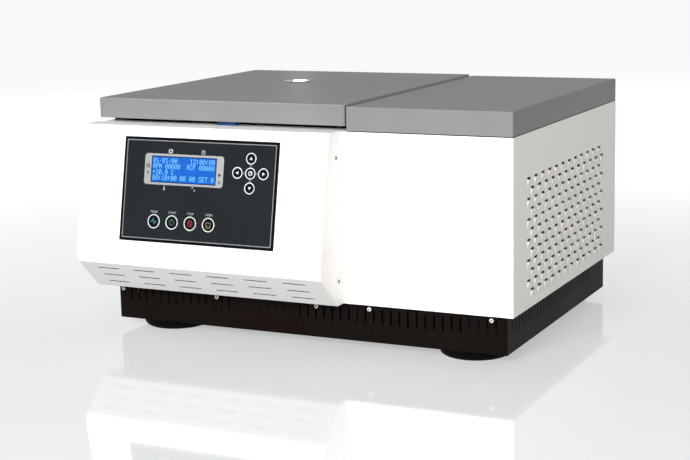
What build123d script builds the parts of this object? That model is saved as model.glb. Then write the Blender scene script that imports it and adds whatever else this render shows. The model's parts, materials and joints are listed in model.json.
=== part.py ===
from build123d import *
import os
from math import atan2, cos, hypot, radians, sin, tan

os.makedirs("parts", exist_ok=True)

# Refrigerated benchtop centrifuge, in millimetres.
# X runs left to right, Y front to back and Z up.
# The origin is on the bench, under the middle of the outline.

# Cabinet
cabinet_width = 724.0
cabinet_depth = 534.0
cabinet_height = 270.0
sheet = 1.5
lip = 28.0  # inward lips of the side panels, which rest on the base
cover_width = 270.0
cover_height = 38.5
cover_corner_radius = 3.0
cover_edge_radius = 2.4
cover_seam = 3.5  # gap between the lid and the fixed cover
deck_under_cover = 8.0
cover_gap = 1.5  # filled by the strip under the cover
cover_strip_width = 8.0
cover_strip_inset = 1.0

# Base tray and feet
base_inset = 15.0
base_height = 63.0
base_lip = 14.0
base_corner_radius = 2.0
base_seam_width = 2.4  # upright grooves beside the corners
base_seam_depth = 0.7
foot_height = 16.0
foot_radius = 57.5
foot_edge_radius = 10.0
foot_inset_left = 93.5
foot_inset_right = 87.5
foot_inset_y = 74.0
base_slot_width = 3.3
base_slot_height = 23.0
base_slot_drop = 10.0  # from the top of the base to the top of its slots
base_slot_pitch = 14.5
base_slot_margin = 32.5
side_slot_pitch = 14.3
side_slot_margin = 41.3
side_slot_end = 100.0  # least room behind the last slot's middle

# Console: its side profile is given forward of the cabinet's front and up from the cabinet's foot
console_setback = 6.0  # from the lid's right edge to the console's
console_rise = 2.0
console_top_reach = 38.0
console_nose_reach = 79.5
console_nose_height = 69.0
console_heel_reach = 75.5
console_heel_height = 50.5
console_foot_reach = 23.0
console_bend_radius = 3.0
vent_length = 40.0
vent_width = 2.2
vent_rows = 3
vent_column_pitch = 68.2
vent_row_pitch = 20.4
vent_first_across = 50.3
vent_end = 50.0  # least room after the last slot's middle
vent_first_down = 15.1

# Control panel, placed across and down the slanted face from its top left corner
overlay_width = 281.0
overlay_height = 167.0
overlay_thickness = 1.6
overlay_left = 81.6
overlay_top = 17.1
bezel_width = 145.6
bezel_height = 49.5
bezel_left = 120.9
bezel_top = 42.8
bezel_thickness = 1.4
lcd_width = 120.0
lcd_height = 42.6
lcd_left = 133.5
lcd_top = 46.3
lcd_glass_thickness = 1.0
lcd_body_margin = 2.0
board_depth = 9.0
board_thickness = 1.6
board_width = 250.0
board_height = 150.0
board_left = 97.0
board_top = 26.0
stud_radius = 2.5
stud_margin = 6.0
chip_side = 24.0
chip_height = 5.0
chip_count = 2
chip_pitch = 70.0
chip_across = 80.0
chip_down = 50.0
relay_width = 16.0
relay_length = 28.0
relay_height = 15.0
relay_count = 4
relay_pitch = 34.0
relay_across = 40.0
relay_up = 30.0
nav_key_radius = 9.2
nav_pitch = 23.0
nav_across = 314.5
nav_down = 67.1
function_key_radius = 11.4
function_pitch = 33.5
function_first_across = 144.8
function_down = 151.0
key_clearance = 0.3
key_travel = 0.4
key_stop = 0.1  # what is left under a key at the end of its travel
key_proud = 0.3

# Right side louvres, placed back from the front and down from the cabinet's top
louvre_width = 17.0
louvre_slot = 3.4
louvre_hood = 12.0
louvre_depth = 2.6
louvre_row_pitch = 15.76
louvre_column_pitch = 33.0
louvre_first_back = 71.4
louvre_first_down = 69.0
louvre_foot = 27.0  # least room under the last row
louvre_end = 96.0  # least room behind the last whole column

# Rear panel
rear_slot_length = 60.0
rear_slot_width = 5.0
rear_slot_rows = 8
rear_slot_pitch = 12.0
rear_slot_columns = 2
rear_slot_column_pitch = 80.0
rear_slot_across = 140.0  # centre of the slots, in from the right side
rear_slot_height = 150.0

# Rotor chamber
chamber_across = 197.0  # rotor axis, in from the left side
chamber_forward = 194.5  # rotor axis, in from the rear
bowl_radius = 140.0
bowl_wall = 1.2
bowl_depth = 160.0
bowl_corner = 20.0
bowl_rim = 12.0
neck_clearance = 9.0  # round the motor's neck
motor_neck_rise = 3.0  # above the floor of the bowl
layer_gap = 0.3
evaporator_wall = 3.0
evaporator_height = 136.0
guard_wall = 6.0
insulation_width = 332.0
insulation_floor = 25.0
gasket_width = 9.0
gasket_inset = 1.0
gasket_inner_slope = 1.0
gasket_outer_slope = 3.0
seal_gap = 0.3
chassis_thickness = 3.0
chassis_drop = 190.0  # from the deck down to the top of the chassis plate
chassis_overhang = 23.5  # in front of the insulation
chassis_margin = 8.0
post_radius = 9.0
post_inset = 30.0

# Lid
lid_height = 33.0
lid_lift = 8.0
lid_setback = 4.0
lid_corner_radius = 4.5
lid_edge_radius = 3.0
liner_thickness = 1.2
liner_clearance = 0.2
liner_disc_radius = 131.0
liner_disc_depth = 4.0
edge_seal_width = 8.0
edge_seal_inset = 6.0
edge_seal_setback = 35.5  # of its front run, from the lid's front edge
window_radius = 21.0
window_bore_radius = 23.0
window_flange_radius = 25.0
window_flange = 1.2
window_glass_thickness = 4.0
window_clearance = 0.1
window_sunk = 0.3

# Lid hinges
hinge_width = 66.0
hinge_spacing = 300.0
hinge_leaf = 2.0
leaf_height = 30.0
knuckle_radius = 6.0
knuckle_gap = 0.4
pin_radius = 3.0
pin_clearance = 0.05

# Lid lock
lock_across = 232.5  # centre of the lock, in from the left side
guide_width = 34.0
guide_depth = 13.0
guide_setback = 20.0
striker_width = 16.0
striker_thickness = 3.0
striker_length = 28.0
striker_tip = 4.0  # below the eye
striker_eye = 10.0
striker_clearance = 2.5
bolt_radius = 4.0
bolt_length = 34.0
bolt_clearance = 0.06
bolt_setback = 1.0
lock_setback = 2.0  # from the bolt's front end to the lock's housing
lock_width = 40.0
lock_height = 26.0
lock_depth = 32.0
lock_motor_radius = 11.0
lock_motor_length = 34.0
lock_gearbox_length = 10.0

# Drive motor, spindle and rotor
motor_radius = 62.0
motor_top_gap = 6.5  # under the chassis plate
motor_neck_radius = 21.0
motor_plate_radius = 130.0  # from the middle to its three corners
motor_plate_thickness = 6.0
mount_radius = 14.0
mount_height = 34.0
mount_circle = 76.0
spindle_radius = 6.0
spindle_clearance = 0.05
spindle_depth = 70.0
spindle_end_gap = 2.0
cone_radius = 14.0
cone_top_radius = 8.0
cone_height = 36.0
thread_radius = 5.0
rotor_lift = 20.0
rotor_height = 104.0
rotor_radius = 122.0
rotor_foot_radius = 106.0
rotor_belt_low = 14.0
rotor_belt_high = 32.0
rotor_crown_radius = 92.0
rotor_dish_radius = 76.0  # across the flats of the dished top, at its rim
rotor_hub_radius = 34.0  # the same, round the hub
rotor_bore_clearance = 0.1
tube_count = 6
tube_angle = 25.0
tube_radius = 14.8
tube_depth = 86.0
tube_circle = 60.0  # radius at which the tube axes leave the dished top
nut_radius = 19.0
nut_height = 18.0
nut_cap = 4.0

# Cooling set
compressor_length = 150.0
compressor_width = 130.0
compressor_height = 190.0
compressor_corner = 48.0
compressor_dome = 16.0
compressor_foot_reach = 5.0
compressor_foot_thickness = 3.0
compressor_inset = 164.0  # its middle, in from the right side
compressor_forward = 111.0  # and in from the rear
grommet_radius = 13.0
grommet_height = 14.0
condenser_thickness = 42.0
condenser_front = 66.0  # in from the cabinet's front
condenser_gap = 4.0  # before the compressor
condenser_height = 226.0
condenser_inset = 57.0  # its middle, in from the right side
condenser_plate = 3.0
condenser_flange = 4.0  # by which the end plates stand proud
fan_radius = 96.0
fan_clearance = 5.0
fan_hub_radius = 34.0
fan_hub_length = 24.0
fan_blade_count = 7
fan_blade_thickness = 2.0
fan_blade_chord = 42.0
fan_blade_camber = 4.0
fan_blade_pitch = 30.0
fan_blade_root = 8.0  # sunk in the hub
fan_shaft_radius = 4.0
fan_shaft_length = 20.0
shroud_depth = 30.0
shroud_wall = 2.0
fan_motor_radius = 28.0
fan_motor_length = 44.0
fan_arm = 14.0
fan_arm_thickness = 3.0
fan_motor_gap = 2.0
pipe_radius = 4.0
pipe_rise = 34.0  # above the compressor
pipe_drop = 40.0  # of the condenser's inlet, below the compressor's top
discharge_across = 25.0  # from the middle of the compressor
suction_across = 45.0
suction_forward = 15.0
duct_margin = 14.0

# Electronics
drive_width = 150.0
drive_depth = 96.0
drive_height = 64.0
drive_fins = 9
drive_fin = 3.0
drive_fin_depth = 30.0
drive_across = 130.0
supply_width = 120.0
supply_depth = 90.0
supply_height = 46.0
supply_gap = 20.0  # beside the motor drive
electronics_back = 84.0

# Mains inlet and switch
inlet_width = 34.0
inlet_height = 66.0
inlet_flange = 3.0
inlet_body_depth = 30.0
inlet_across = 80.0  # in from the right side
inlet_up = 46.0
socket_width = 24.4
socket_height = 16.6
socket_depth = 14.0
socket_drop = 15.0
rocker_width = 14.0
rocker_radius = 10.0
rocker_rise = 17.0
rocker_clearance = 0.3
rocker_tip_out = 6.5
rocker_valley_out = 3.2
rocker_low_out = 2.2
rocker_sunk = 2.0  # pivot, in from the face of the flange

# Fasteners
screw_radius = 3.3
screw_head = 1.6
base_screws_left = (23.0, 205.0, 388.0)  # in from the left side
base_screw_drop_left = 13.0
base_screws_right = (243.0, 40.0)  # in from the right side
base_screw_drop_right = 10.0
console_screw_back = 17.0
console_screw_margin = 38.5  # up from the cabinet's foot, and down from its top

# Planes that several pieces share
left_x = -(cabinet_width + louvre_depth) / 2
right_x = left_x + cabinet_width
rear_reach = 2 * knuckle_radius + knuckle_gap
front_y = (console_nose_reach - cabinet_depth - rear_reach) / 2
rear_y = front_y + cabinet_depth
floor_z = foot_height + sheet
body_z = foot_height + base_height
deck_z = body_z + cabinet_height
lid_z = deck_z + lid_lift
lid_right_x = right_x - cover_width - cover_seam
bulkhead_x = lid_right_x
console_right_x = lid_right_x - console_setback
console_width = console_right_x - left_x
chamber_x = left_x + chamber_across
chamber_y = rear_y - chamber_forward
bowl_z = deck_z - bowl_depth
chassis_z = deck_z - chassis_drop
chassis_front_y = chamber_y - insulation_width / 2 - chassis_overhang
rotor_z = bowl_z + rotor_lift
hinge_y = rear_y + knuckle_gap + knuckle_radius
hinge_z = deck_z + lid_lift / 2
compressor_x = right_x - compressor_inset
compressor_y = rear_y - compressor_forward
condenser_x = right_x - condenser_inset
condenser_y0 = front_y + condenser_front
condenser_y1 = compressor_y - compressor_width / 2 - condenser_gap
slope_run = console_nose_reach - console_top_reach
slope_rise = cabinet_height + console_rise - console_nose_height
slope_lean = atan2(slope_run, slope_rise)
slope = Plane(
    origin=(left_x, front_y - console_top_reach, deck_z + console_rise),
    x_dir=(1, 0, 0),
    z_dir=(0, -cos(slope_lean), sin(slope_lean)),
)

# Where a solid lies about its own origin
standing = (Align.CENTER, Align.CENTER, Align.MIN)
hanging = (Align.CENTER, Align.CENTER, Align.MAX)
before = (Align.CENTER, Align.MAX, Align.CENTER)


def block(x0, x1, y0, y1, z0, z1):
    """A box given by its three pairs of faces."""
    return Pos(x0, y0, z0) * Box(x1 - x0, y1 - y0, z1 - z0, align=(Align.MIN, Align.MIN, Align.MIN))


def rod(radius, length):
    """A cylinder that stands on the origin."""
    return Cylinder(radius, length, align=standing)


def turned(x, y, z, *outline):
    """A solid of revolution about a vertical axis, from its outline in radius and height."""
    profile = make_face(Plane.XZ * Polyline(*outline, close=True))
    return Pos(x, y, z) * revolve(profile, Axis.Z)


def tray(x0, x1, y0, y1, z0, z1, corner, edge, wall, open_top):
    """A folded sheet tray with rounded corners, open above or below."""
    body = block(x0, x1, y0, y1, z0, z1)
    body = fillet(body.edges().filter_by(Axis.Z), corner)
    closed = body.faces().sort_by(Axis.Z)[0 if open_top else -1]
    if edge:
        body = fillet(closed.edges(), edge)
    mouth = body.faces().sort_by(Axis.Z)[-1 if open_top else 0]
    return offset(body, amount=-wall, openings=mouth)


def on_slope(across, down, out=0.0):
    """A place on the slanted face, across and down it from its top left corner."""
    return slope.location * Pos(across, -down, out)


# Cabinet

def base_pan():
    x0 = left_x + base_inset
    x1 = right_x - base_inset
    y0 = front_y + base_inset
    y1 = rear_y - base_inset
    pan = tray(x0, x1, y0, y1, foot_height, body_z - sheet, base_corner_radius, 0, sheet, True)
    lip_plate = block(x0, x1, y0, y1, body_z - sheet, body_z)
    lip_plate = fillet(lip_plate.edges().filter_by(Axis.Z), base_corner_radius)
    lip_plate -= block(x0 + base_lip, x1 - base_lip, y0 + base_lip, y1 - base_lip, body_z - sheet, body_z)
    pan += lip_plate
    slot_z1 = body_z - base_slot_drop
    slot_z0 = slot_z1 - base_slot_height
    half = base_slot_width / 2
    slots = []
    front_count = int((cabinet_width - 2 * base_slot_margin) / base_slot_pitch) + 1
    for n in range(front_count):
        x = right_x - base_slot_margin - n * base_slot_pitch
        slots.append(block(x - half, x + half, y0 - sheet, y0 + 2 * sheet, slot_z0, slot_z1))
    side_count = int((cabinet_depth - side_slot_margin - side_slot_end) / side_slot_pitch) + 1
    for n in range(side_count):
        y = front_y + side_slot_margin + n * side_slot_pitch
        slots.append(block(x0 - sheet, x1 + sheet, y - half, y + half, slot_z0, slot_z1))
    seams = []
    for x in (x0 + base_corner_radius, x1 - base_corner_radius - base_seam_width):
        for y in (y0, y1 - base_seam_depth):
            seams.append(block(x, x + base_seam_width, y, y + base_seam_depth, foot_height, body_z))
    return pan - slots - seams


def rubber_feet():
    foot = rod(foot_radius, foot_height)
    foot = fillet(foot.edges().sort_by(Axis.Z)[0], foot_edge_radius)
    across = (left_x + foot_inset_left, right_x - foot_inset_right)
    along = (front_y + foot_inset_y, rear_y - foot_inset_y)
    return [Pos(x, y, 0) * foot for x in across for y in along]


def left_panel():
    outline = Polyline((lip, 0), (0, 0), (0, cabinet_height - sheet), (lip, cabinet_height - sheet))
    profile = make_face(offset(outline, amount=sheet, side=Side.RIGHT, kind=Kind.INTERSECTION))
    start = Plane(origin=(left_x, rear_y - sheet, body_z), x_dir=(1, 0, 0), z_dir=(0, -1, 0))
    return extrude(start * profile, cabinet_depth - sheet)


def louvre(y, z):
    """One louvre of the right side: the slot, and the hood pressed out under it."""
    x = right_x
    half = louvre_width / 2
    hood_top = z - louvre_slot / 2
    slot = block(x - 2 * sheet, x + louvre_depth, y - half, y + half, hood_top, hood_top + louvre_slot)
    outline = Polyline((x, hood_top), (x + louvre_depth, hood_top), (x, hood_top - louvre_hood), close=True)
    hood = extrude(Plane.XZ.offset(-y) * make_face(outline), half, both=True)
    return slot, hood


def right_panel():
    inside_x = console_right_x
    back_y = rear_y - sheet
    outline = Polyline((inside_x, front_y), (right_x, front_y), (right_x, back_y), (right_x - lip, back_y))
    profile = make_face(offset(outline, amount=sheet, side=Side.LEFT, kind=Kind.INTERSECTION))
    panel = extrude(Plane.XY.offset(body_z) * profile, cabinet_height)
    for z in (body_z, deck_z - sheet):
        panel += block(right_x - lip, right_x - sheet, front_y + sheet, back_y - sheet, z, z + sheet)
    panel += block(inside_x, right_x - lip, front_y + sheet, front_y + lip, body_z, body_z + sheet)
    rows = int((cabinet_height - louvre_first_down - louvre_foot) / louvre_row_pitch) + 1
    columns = int((cabinet_depth - louvre_first_back - louvre_end) / louvre_column_pitch) + 1
    slots = []
    hoods = []
    for row in range(rows):
        z = deck_z - louvre_first_down - row * louvre_row_pitch
        shift = louvre_column_pitch / 2 if row % 2 else 0
        for column in range(columns):
            y = front_y + louvre_first_back + shift + column * louvre_column_pitch
            slot, hood = louvre(y, z)
            slots.append(slot)
            hoods.append(hood)
    return panel + hoods - slots


def rear_panel():
    y0 = rear_y - sheet
    panel = block(left_x, right_x, y0, rear_y, body_z, deck_z)
    x = right_x - rear_slot_across
    centre = Plane(origin=(x, rear_y, body_z + rear_slot_height), x_dir=(1, 0, 0), z_dir=(0, -1, 0))
    slot = Box(rear_slot_length, rear_slot_width, 4 * sheet)
    grid = GridLocations(rear_slot_column_pitch, rear_slot_pitch, rear_slot_columns, rear_slot_rows)
    panel -= [centre.location * place * slot for place in grid]
    inlet_x = right_x - inlet_across
    inlet_z = body_z + inlet_up
    half = inlet_width / 2 - inlet_flange
    tall = inlet_height / 2 - inlet_flange
    panel -= block(inlet_x - half, inlet_x + half, y0, rear_y, inlet_z - tall, inlet_z + tall)
    return panel


def bulkhead():
    outline = Polyline(
        (front_y + sheet, deck_z - sheet),
        (rear_y - sheet, deck_z - sheet),
        (rear_y - sheet, body_z),
        (rear_y - base_inset - base_lip, body_z),
        (rear_y - base_inset - base_lip, floor_z),
        (front_y + base_inset + base_lip, floor_z),
        (front_y + base_inset + base_lip, body_z + sheet),
        (front_y + lip, body_z + sheet),
        (front_y + sheet, body_z + sheet),
        close=True,
    )
    wall = extrude(Plane.YZ.offset(bulkhead_x) * make_face(outline), sheet)
    duct = Box(2 * sheet, 2 * duct_margin, 2 * duct_margin)
    return wall - Pos(bulkhead_x + sheet / 2, duct_y(), duct_z()) * duct


def duct_y():
    """Where the refrigerant lines pass the bulkhead, along Y."""
    return compressor_y - compressor_width / 2 - duct_margin


def duct_z():
    """Where the refrigerant lines pass the bulkhead, along Z."""
    return chassis_z + insulation_floor


def deck_plate():
    x1 = right_x - cover_width + deck_under_cover
    z0 = deck_z - sheet
    deck = block(left_x, x1, front_y, rear_y - sheet, z0, deck_z)
    deck -= block(console_right_x, x1, front_y, front_y + sheet, z0, deck_z)
    deck -= Pos(chamber_x, chamber_y, z0) * rod(bowl_radius + bowl_wall + layer_gap, sheet)
    half = striker_width / 2 + striker_clearance
    y0 = striker_y() - striker_clearance
    y1 = striker_y() + striker_thickness + striker_clearance
    return deck - block(lock_x() - half, lock_x() + half, y0, y1, z0, deck_z)


def top_cover():
    x0 = right_x - cover_width
    z0 = deck_z + cover_gap
    return tray(x0, right_x, front_y, rear_y, z0, deck_z + cover_height, cover_corner_radius,
                cover_edge_radius, sheet, False)


# Console

def chamfer_plane():
    """The underside of the console, with its origin at the left end of the upper bend."""
    run = console_heel_reach - console_foot_reach
    length = hypot(run, console_heel_height)
    return Plane(
        origin=(left_x, front_y - console_heel_reach, body_z + console_heel_height),
        x_dir=(1, 0, 0),
        z_dir=(0, -console_heel_height / length, -run / length),
    )


def console_shell():
    outline = Polyline(
        (front_y, body_z),
        (front_y - console_foot_reach, body_z),
        (front_y - console_heel_reach, body_z + console_heel_height),
        (front_y - console_nose_reach, body_z + console_nose_height),
        (front_y - console_top_reach, deck_z + console_rise),
        (front_y, deck_z + console_rise),
        close=True,
    )
    body = extrude(Plane.YZ.offset(left_x) * make_face(outline), console_width)
    bends = body.edges().filter_by(Axis.X).sort_by(Axis.Y)[:4]
    body = fillet(bends, console_bend_radius)
    shell = offset(body, amount=-sheet, openings=body.faces().sort_by(Axis.Y)[-1])
    grown = 2 * (lcd_body_margin + key_clearance)
    lcd = Box(lcd_width + grown, lcd_height + grown, 4 * sheet)
    shell -= on_slope(lcd_left + lcd_width / 2, lcd_top + lcd_height / 2) * lcd
    under = chamfer_plane()
    slot = Box(vent_length, vent_width, 4 * sheet)
    columns = int((console_width - vent_first_across - vent_end) / vent_column_pitch) + 1
    slots = []
    for row in range(vent_rows):
        for column in range(columns):
            across = vent_first_across + column * vent_column_pitch
            down = vent_first_down + row * vent_row_pitch
            slots.append(under.location * Pos(across, -down, 0) * slot)
    shell -= slots
    stud = extrude(RegularPolygon(stud_radius, 6), board_depth - sheet / 2)
    studs = []
    for across in (board_left + stud_margin, board_left + board_width - stud_margin):
        for down in (board_top + stud_margin, board_top + board_height - stud_margin):
            studs.append(on_slope(across, down, -board_depth) * stud)
    return shell + studs


def key_places():
    """Each key's name, with its radius and its place across and down the slanted face."""
    steps = {"up": (0, -1), "left": (-1, 0), "enter": (0, 0), "right": (1, 0), "down": (0, 1)}
    places = {}
    for name, (right, down) in steps.items():
        places[name] = (nav_key_radius, nav_across + right * nav_pitch, nav_down + down * nav_pitch)
    for n, name in enumerate(("pulse", "start", "stop", "open")):
        places[name] = (function_key_radius, function_first_across + n * function_pitch, function_down)
    return places


def overlay_panel():
    plate = Box(overlay_width, overlay_height, overlay_thickness, align=(Align.MIN, Align.MAX, Align.MIN))
    panel = on_slope(overlay_left, overlay_top) * plate
    window = Box(bezel_width + 2 * key_clearance, bezel_height + 2 * key_clearance, 4 * overlay_thickness)
    panel -= on_slope(bezel_left + bezel_width / 2, bezel_top + bezel_height / 2) * window
    for radius, across, down in key_places().values():
        panel -= on_slope(across, down) * rod(radius + key_clearance, overlay_thickness)
    return panel


def key(name):
    radius, across, down = key_places()[name]
    low = key_travel + key_stop
    return on_slope(across, down, low) * rod(radius, overlay_thickness + key_proud - low)


def lcd_bezel():
    frame = Box(bezel_width, bezel_height, bezel_thickness, align=standing)
    frame = on_slope(bezel_left + bezel_width / 2, bezel_top + bezel_height / 2) * frame
    opening = Box(lcd_width + key_clearance, lcd_height + key_clearance, 4 * bezel_thickness)
    return frame - on_slope(lcd_left + lcd_width / 2, lcd_top + lcd_height / 2) * opening


def lcd_glass():
    glass = Box(lcd_width, lcd_height, lcd_glass_thickness, align=standing)
    return on_slope(lcd_left + lcd_width / 2, lcd_top + lcd_height / 2) * glass


def lcd_module():
    grown = 2 * lcd_body_margin
    body = Box(lcd_width + grown, lcd_height + grown, board_depth, align=hanging)
    return on_slope(lcd_left + lcd_width / 2, lcd_top + lcd_height / 2) * body


def control_board():
    board = Box(board_width, board_height, board_thickness, align=(Align.MIN, Align.MAX, Align.MAX))
    part = on_slope(board_left, board_top, -board_depth) * board
    back = -board_depth - board_thickness
    chip = Box(chip_side, chip_side, chip_height, align=hanging)
    relay = Box(relay_width, relay_length, relay_height, align=hanging)
    for n in range(relay_count):
        across = board_left + relay_across + n * relay_pitch
        part += on_slope(across, board_top + board_height - relay_up, back) * relay
    for n in range(chip_count):
        part += on_slope(board_left + chip_across + n * chip_pitch, board_top + chip_down, back) * chip
    return part


# Rotor chamber

def chassis_plate():
    plate = block(left_x + sheet + chassis_margin, bulkhead_x - chassis_margin, chassis_front_y,
                  rear_y - sheet - chassis_margin, chassis_z - chassis_thickness, chassis_z)
    hole = rod(motor_neck_radius + neck_clearance, chassis_thickness)
    return plate - Pos(chamber_x, chamber_y, chassis_z - chassis_thickness) * hole


def chassis_posts():
    x0 = left_x + sheet + chassis_margin + post_inset
    x1 = bulkhead_x - chassis_margin - post_inset
    y0 = chassis_front_y + post_inset
    y1 = rear_y - sheet - chassis_margin - post_inset
    post = extrude(RegularPolygon(post_radius, 6), chassis_z - chassis_thickness - floor_z)
    return [Pos(x, y, floor_z) * post for x in (x0, x1) for y in (y0, y1)]


def chamber_bowl():
    r = bowl_radius
    top = bowl_depth + bowl_wall
    line = Polyline(
        (motor_neck_radius + layer_gap, 0),
        (r - bowl_corner, 0),
        (r, bowl_corner),
        (r, top),
        (r + bowl_rim, top),
    )
    profile = make_face(Plane.XZ * offset(line, amount=bowl_wall, side=Side.RIGHT, kind=Kind.INTERSECTION))
    return Pos(chamber_x, chamber_y, bowl_z) * revolve(profile, Axis.Z)


def ring(inner, outer, z0, z1):
    """A plain ring about the rotor axis."""
    return turned(chamber_x, chamber_y, z0, (inner, 0), (outer, 0), (outer, z1 - z0), (inner, z1 - z0))


def evaporator():
    inner = bowl_radius + bowl_wall + layer_gap
    z0 = bowl_z + bowl_corner
    return ring(inner, inner + evaporator_wall, z0, z0 + evaporator_height)


def guard_inner():
    return bowl_radius + bowl_wall + evaporator_wall + 2 * layer_gap


def guard_ring():
    return ring(guard_inner(), guard_inner() + guard_wall, chassis_z, deck_z - sheet)


def insulation():
    half = insulation_width / 2
    z1 = deck_z - sheet
    outer = block(chamber_x - half, chamber_x + half, chamber_y - half, chamber_y + half, chassis_z, z1)
    outer -= Pos(chamber_x, chamber_y, chassis_z) * rod(guard_inner() + guard_wall + layer_gap, chassis_drop)
    floor = ring(motor_neck_radius + neck_clearance, guard_inner() - layer_gap, chassis_z, bowl_z - bowl_wall)
    return [outer, floor]


def chamber_gasket():
    inner = bowl_radius + gasket_inset
    outer = inner + gasket_width
    z0 = deck_z + bowl_wall
    top = lid_z - seal_gap - z0
    return turned(chamber_x, chamber_y, z0, (inner, 0), (outer, 0), (outer - gasket_outer_slope, top),
                  (inner + gasket_inner_slope, top))


def loop(x0, x1, y0, y1, width, height):
    """A rectangular strip that lies on the deck."""
    z1 = deck_z + height
    inner = block(x0 + width, x1 - width, y0 + width, y1 - width, deck_z, z1)
    return block(x0, x1, y0, y1, deck_z, z1) - inner


def deck_seal():
    """The seal under the lid's edges, and the thin strip under the fixed cover."""
    inset = edge_seal_inset
    front = front_y + lid_setback + edge_seal_setback
    seal = loop(left_x + inset, lid_right_x - inset, front, rear_y - inset, edge_seal_width,
                lid_lift - seal_gap)
    inset = cover_strip_inset
    strip = loop(right_x - cover_width + inset, right_x - inset, front_y + inset, rear_y - inset,
                 cover_strip_width, cover_gap)
    return [seal, strip]


# Lid

def lid_shell():
    shell = tray(left_x, lid_right_x, front_y + lid_setback, rear_y, lid_z, lid_z + lid_height,
                 lid_corner_radius, lid_edge_radius, sheet, False)
    return shell - Pos(chamber_x, chamber_y, lid_z) * rod(window_bore_radius + layer_gap, lid_height)


def lid_liner():
    gap = sheet + liner_clearance
    x0 = left_x + gap
    x1 = lid_right_x - gap
    y0 = front_y + lid_setback + gap
    y1 = rear_y - gap
    liner = block(x0, x1, y0, y1, lid_z, lid_z + liner_thickness)
    liner = fillet(liner.edges().filter_by(Axis.Z), lid_corner_radius - sheet)
    liner += Pos(chamber_x, chamber_y, lid_z - liner_disc_depth) * rod(liner_disc_radius, liner_disc_depth)
    bore = rod(window_bore_radius + layer_gap, liner_disc_depth + liner_thickness)
    return liner - Pos(chamber_x, chamber_y, lid_z - liner_disc_depth) * bore


def window_ring():
    z0 = lid_z - liner_disc_depth
    top = lid_height + liner_disc_depth
    bore = window_radius + window_clearance
    outer = window_bore_radius
    brim = window_flange_radius
    return turned(chamber_x, chamber_y, z0, (bore, 0), (outer, 0), (outer, top), (brim, top),
                  (brim, top + window_flange), (bore, top + window_flange))


def window_glass():
    z0 = lid_z + lid_height + window_flange - window_glass_thickness - window_sunk
    return Pos(chamber_x, chamber_y, z0) * rod(window_radius, window_glass_thickness)


def lock_x():
    return left_x + lock_across


def striker_y():
    """Front face of the striker."""
    return front_y + guide_setback + (guide_depth - striker_thickness) / 2


def lid_striker():
    half = striker_width / 2
    y0 = striker_y()
    z0 = lid_z - striker_length
    plate = block(lock_x() - half, lock_x() + half, y0, y0 + striker_thickness, z0, lid_z)
    eye = Box(striker_eye, 3 * striker_thickness, striker_eye, align=standing)
    return plate - Pos(lock_x(), y0, z0 + striker_tip) * eye


def latch_guide():
    half = guide_width / 2
    y0 = front_y + guide_setback
    guide = block(lock_x() - half, lock_x() + half, y0, y0 + guide_depth, deck_z, lid_z - seal_gap)
    slot = striker_width / 2 + striker_clearance
    y1 = striker_y() - striker_clearance
    y2 = striker_y() + striker_thickness + striker_clearance
    return guide - block(lock_x() - slot, lock_x() + slot, y1, y2, deck_z, lid_z)


def bolt_z():
    return lid_z - striker_length + striker_tip + striker_eye / 2


def bolt_y():
    """Front end of the lock's bolt, drawn back."""
    return striker_y() + striker_thickness + bolt_setback


def along_y(x, y, z):
    """A place whose local Z runs towards the back."""
    return Plane(origin=(x, y, z), x_dir=(1, 0, 0), z_dir=(0, 1, 0)).location


def latch_housing():
    half = lock_width / 2
    y0 = bolt_y() + lock_setback
    z1 = deck_z - sheet
    housing = block(lock_x() - half, lock_x() + half, y0, y0 + lock_depth, z1 - lock_height, z1)
    return housing - along_y(lock_x(), y0, bolt_z()) * rod(bolt_radius + bolt_clearance, lock_depth)


def latch_bolt():
    return along_y(lock_x(), bolt_y(), bolt_z()) * rod(bolt_radius, bolt_length)


def lock_motor():
    y0 = bolt_y() + lock_setback + lock_depth
    y1 = y0 + lock_gearbox_length
    x = lock_x() + lock_width / 2 - lock_motor_radius
    z1 = deck_z - sheet
    can = along_y(x, y1, z1 - lock_height / 2) * rod(lock_motor_radius, lock_motor_length)
    return can + block(x - lock_motor_radius, x + lock_motor_radius, y0, y1, z1 - lock_height, z1)


# Hinges

def along_x(x, y, z):
    """A place whose local Z runs to the right."""
    return Plane(origin=(x, y, z), x_dir=(0, 1, 0), z_dir=(1, 0, 0)).location


def hinge_starts():
    middle = (left_x + lid_right_x) / 2
    return [middle + side * hinge_spacing / 2 - hinge_width / 2 for side in (-1, 1)]


def leaf(x0, fixed):
    """One leaf with its knuckles: the fixed leaf has the two outer ones, the lid's has the middle one."""
    third = hinge_width / 3
    sign = -1 if fixed else 1
    root = hinge_z + sign * (knuckle_radius + knuckle_gap)
    far = root + sign * leaf_height
    plate = block(x0, x0 + hinge_width, rear_y, rear_y + hinge_leaf, min(root, far), max(root, far))
    spans = [(x0, x0 + third - knuckle_gap), (x0 + 2 * third + knuckle_gap, x0 + hinge_width)]
    radius = pin_radius
    if not fixed:
        spans = [(x0 + third, x0 + 2 * third)]
        radius += pin_clearance
    y0 = rear_y + knuckle_gap
    for a, b in spans:
        plate += along_x(a, hinge_y, hinge_z) * rod(knuckle_radius, b - a)
        plate += block(a, b, y0, rear_y + hinge_leaf, min(hinge_z, root), max(hinge_z, root))
    return plate - along_x(x0, hinge_y, hinge_z) * rod(radius, hinge_width)


def hinge_pins():
    return [along_x(x0, hinge_y, hinge_z) * rod(pin_radius, hinge_width) for x0 in hinge_starts()]


# Drive

def motor_foot_z():
    return floor_z + mount_height


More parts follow.
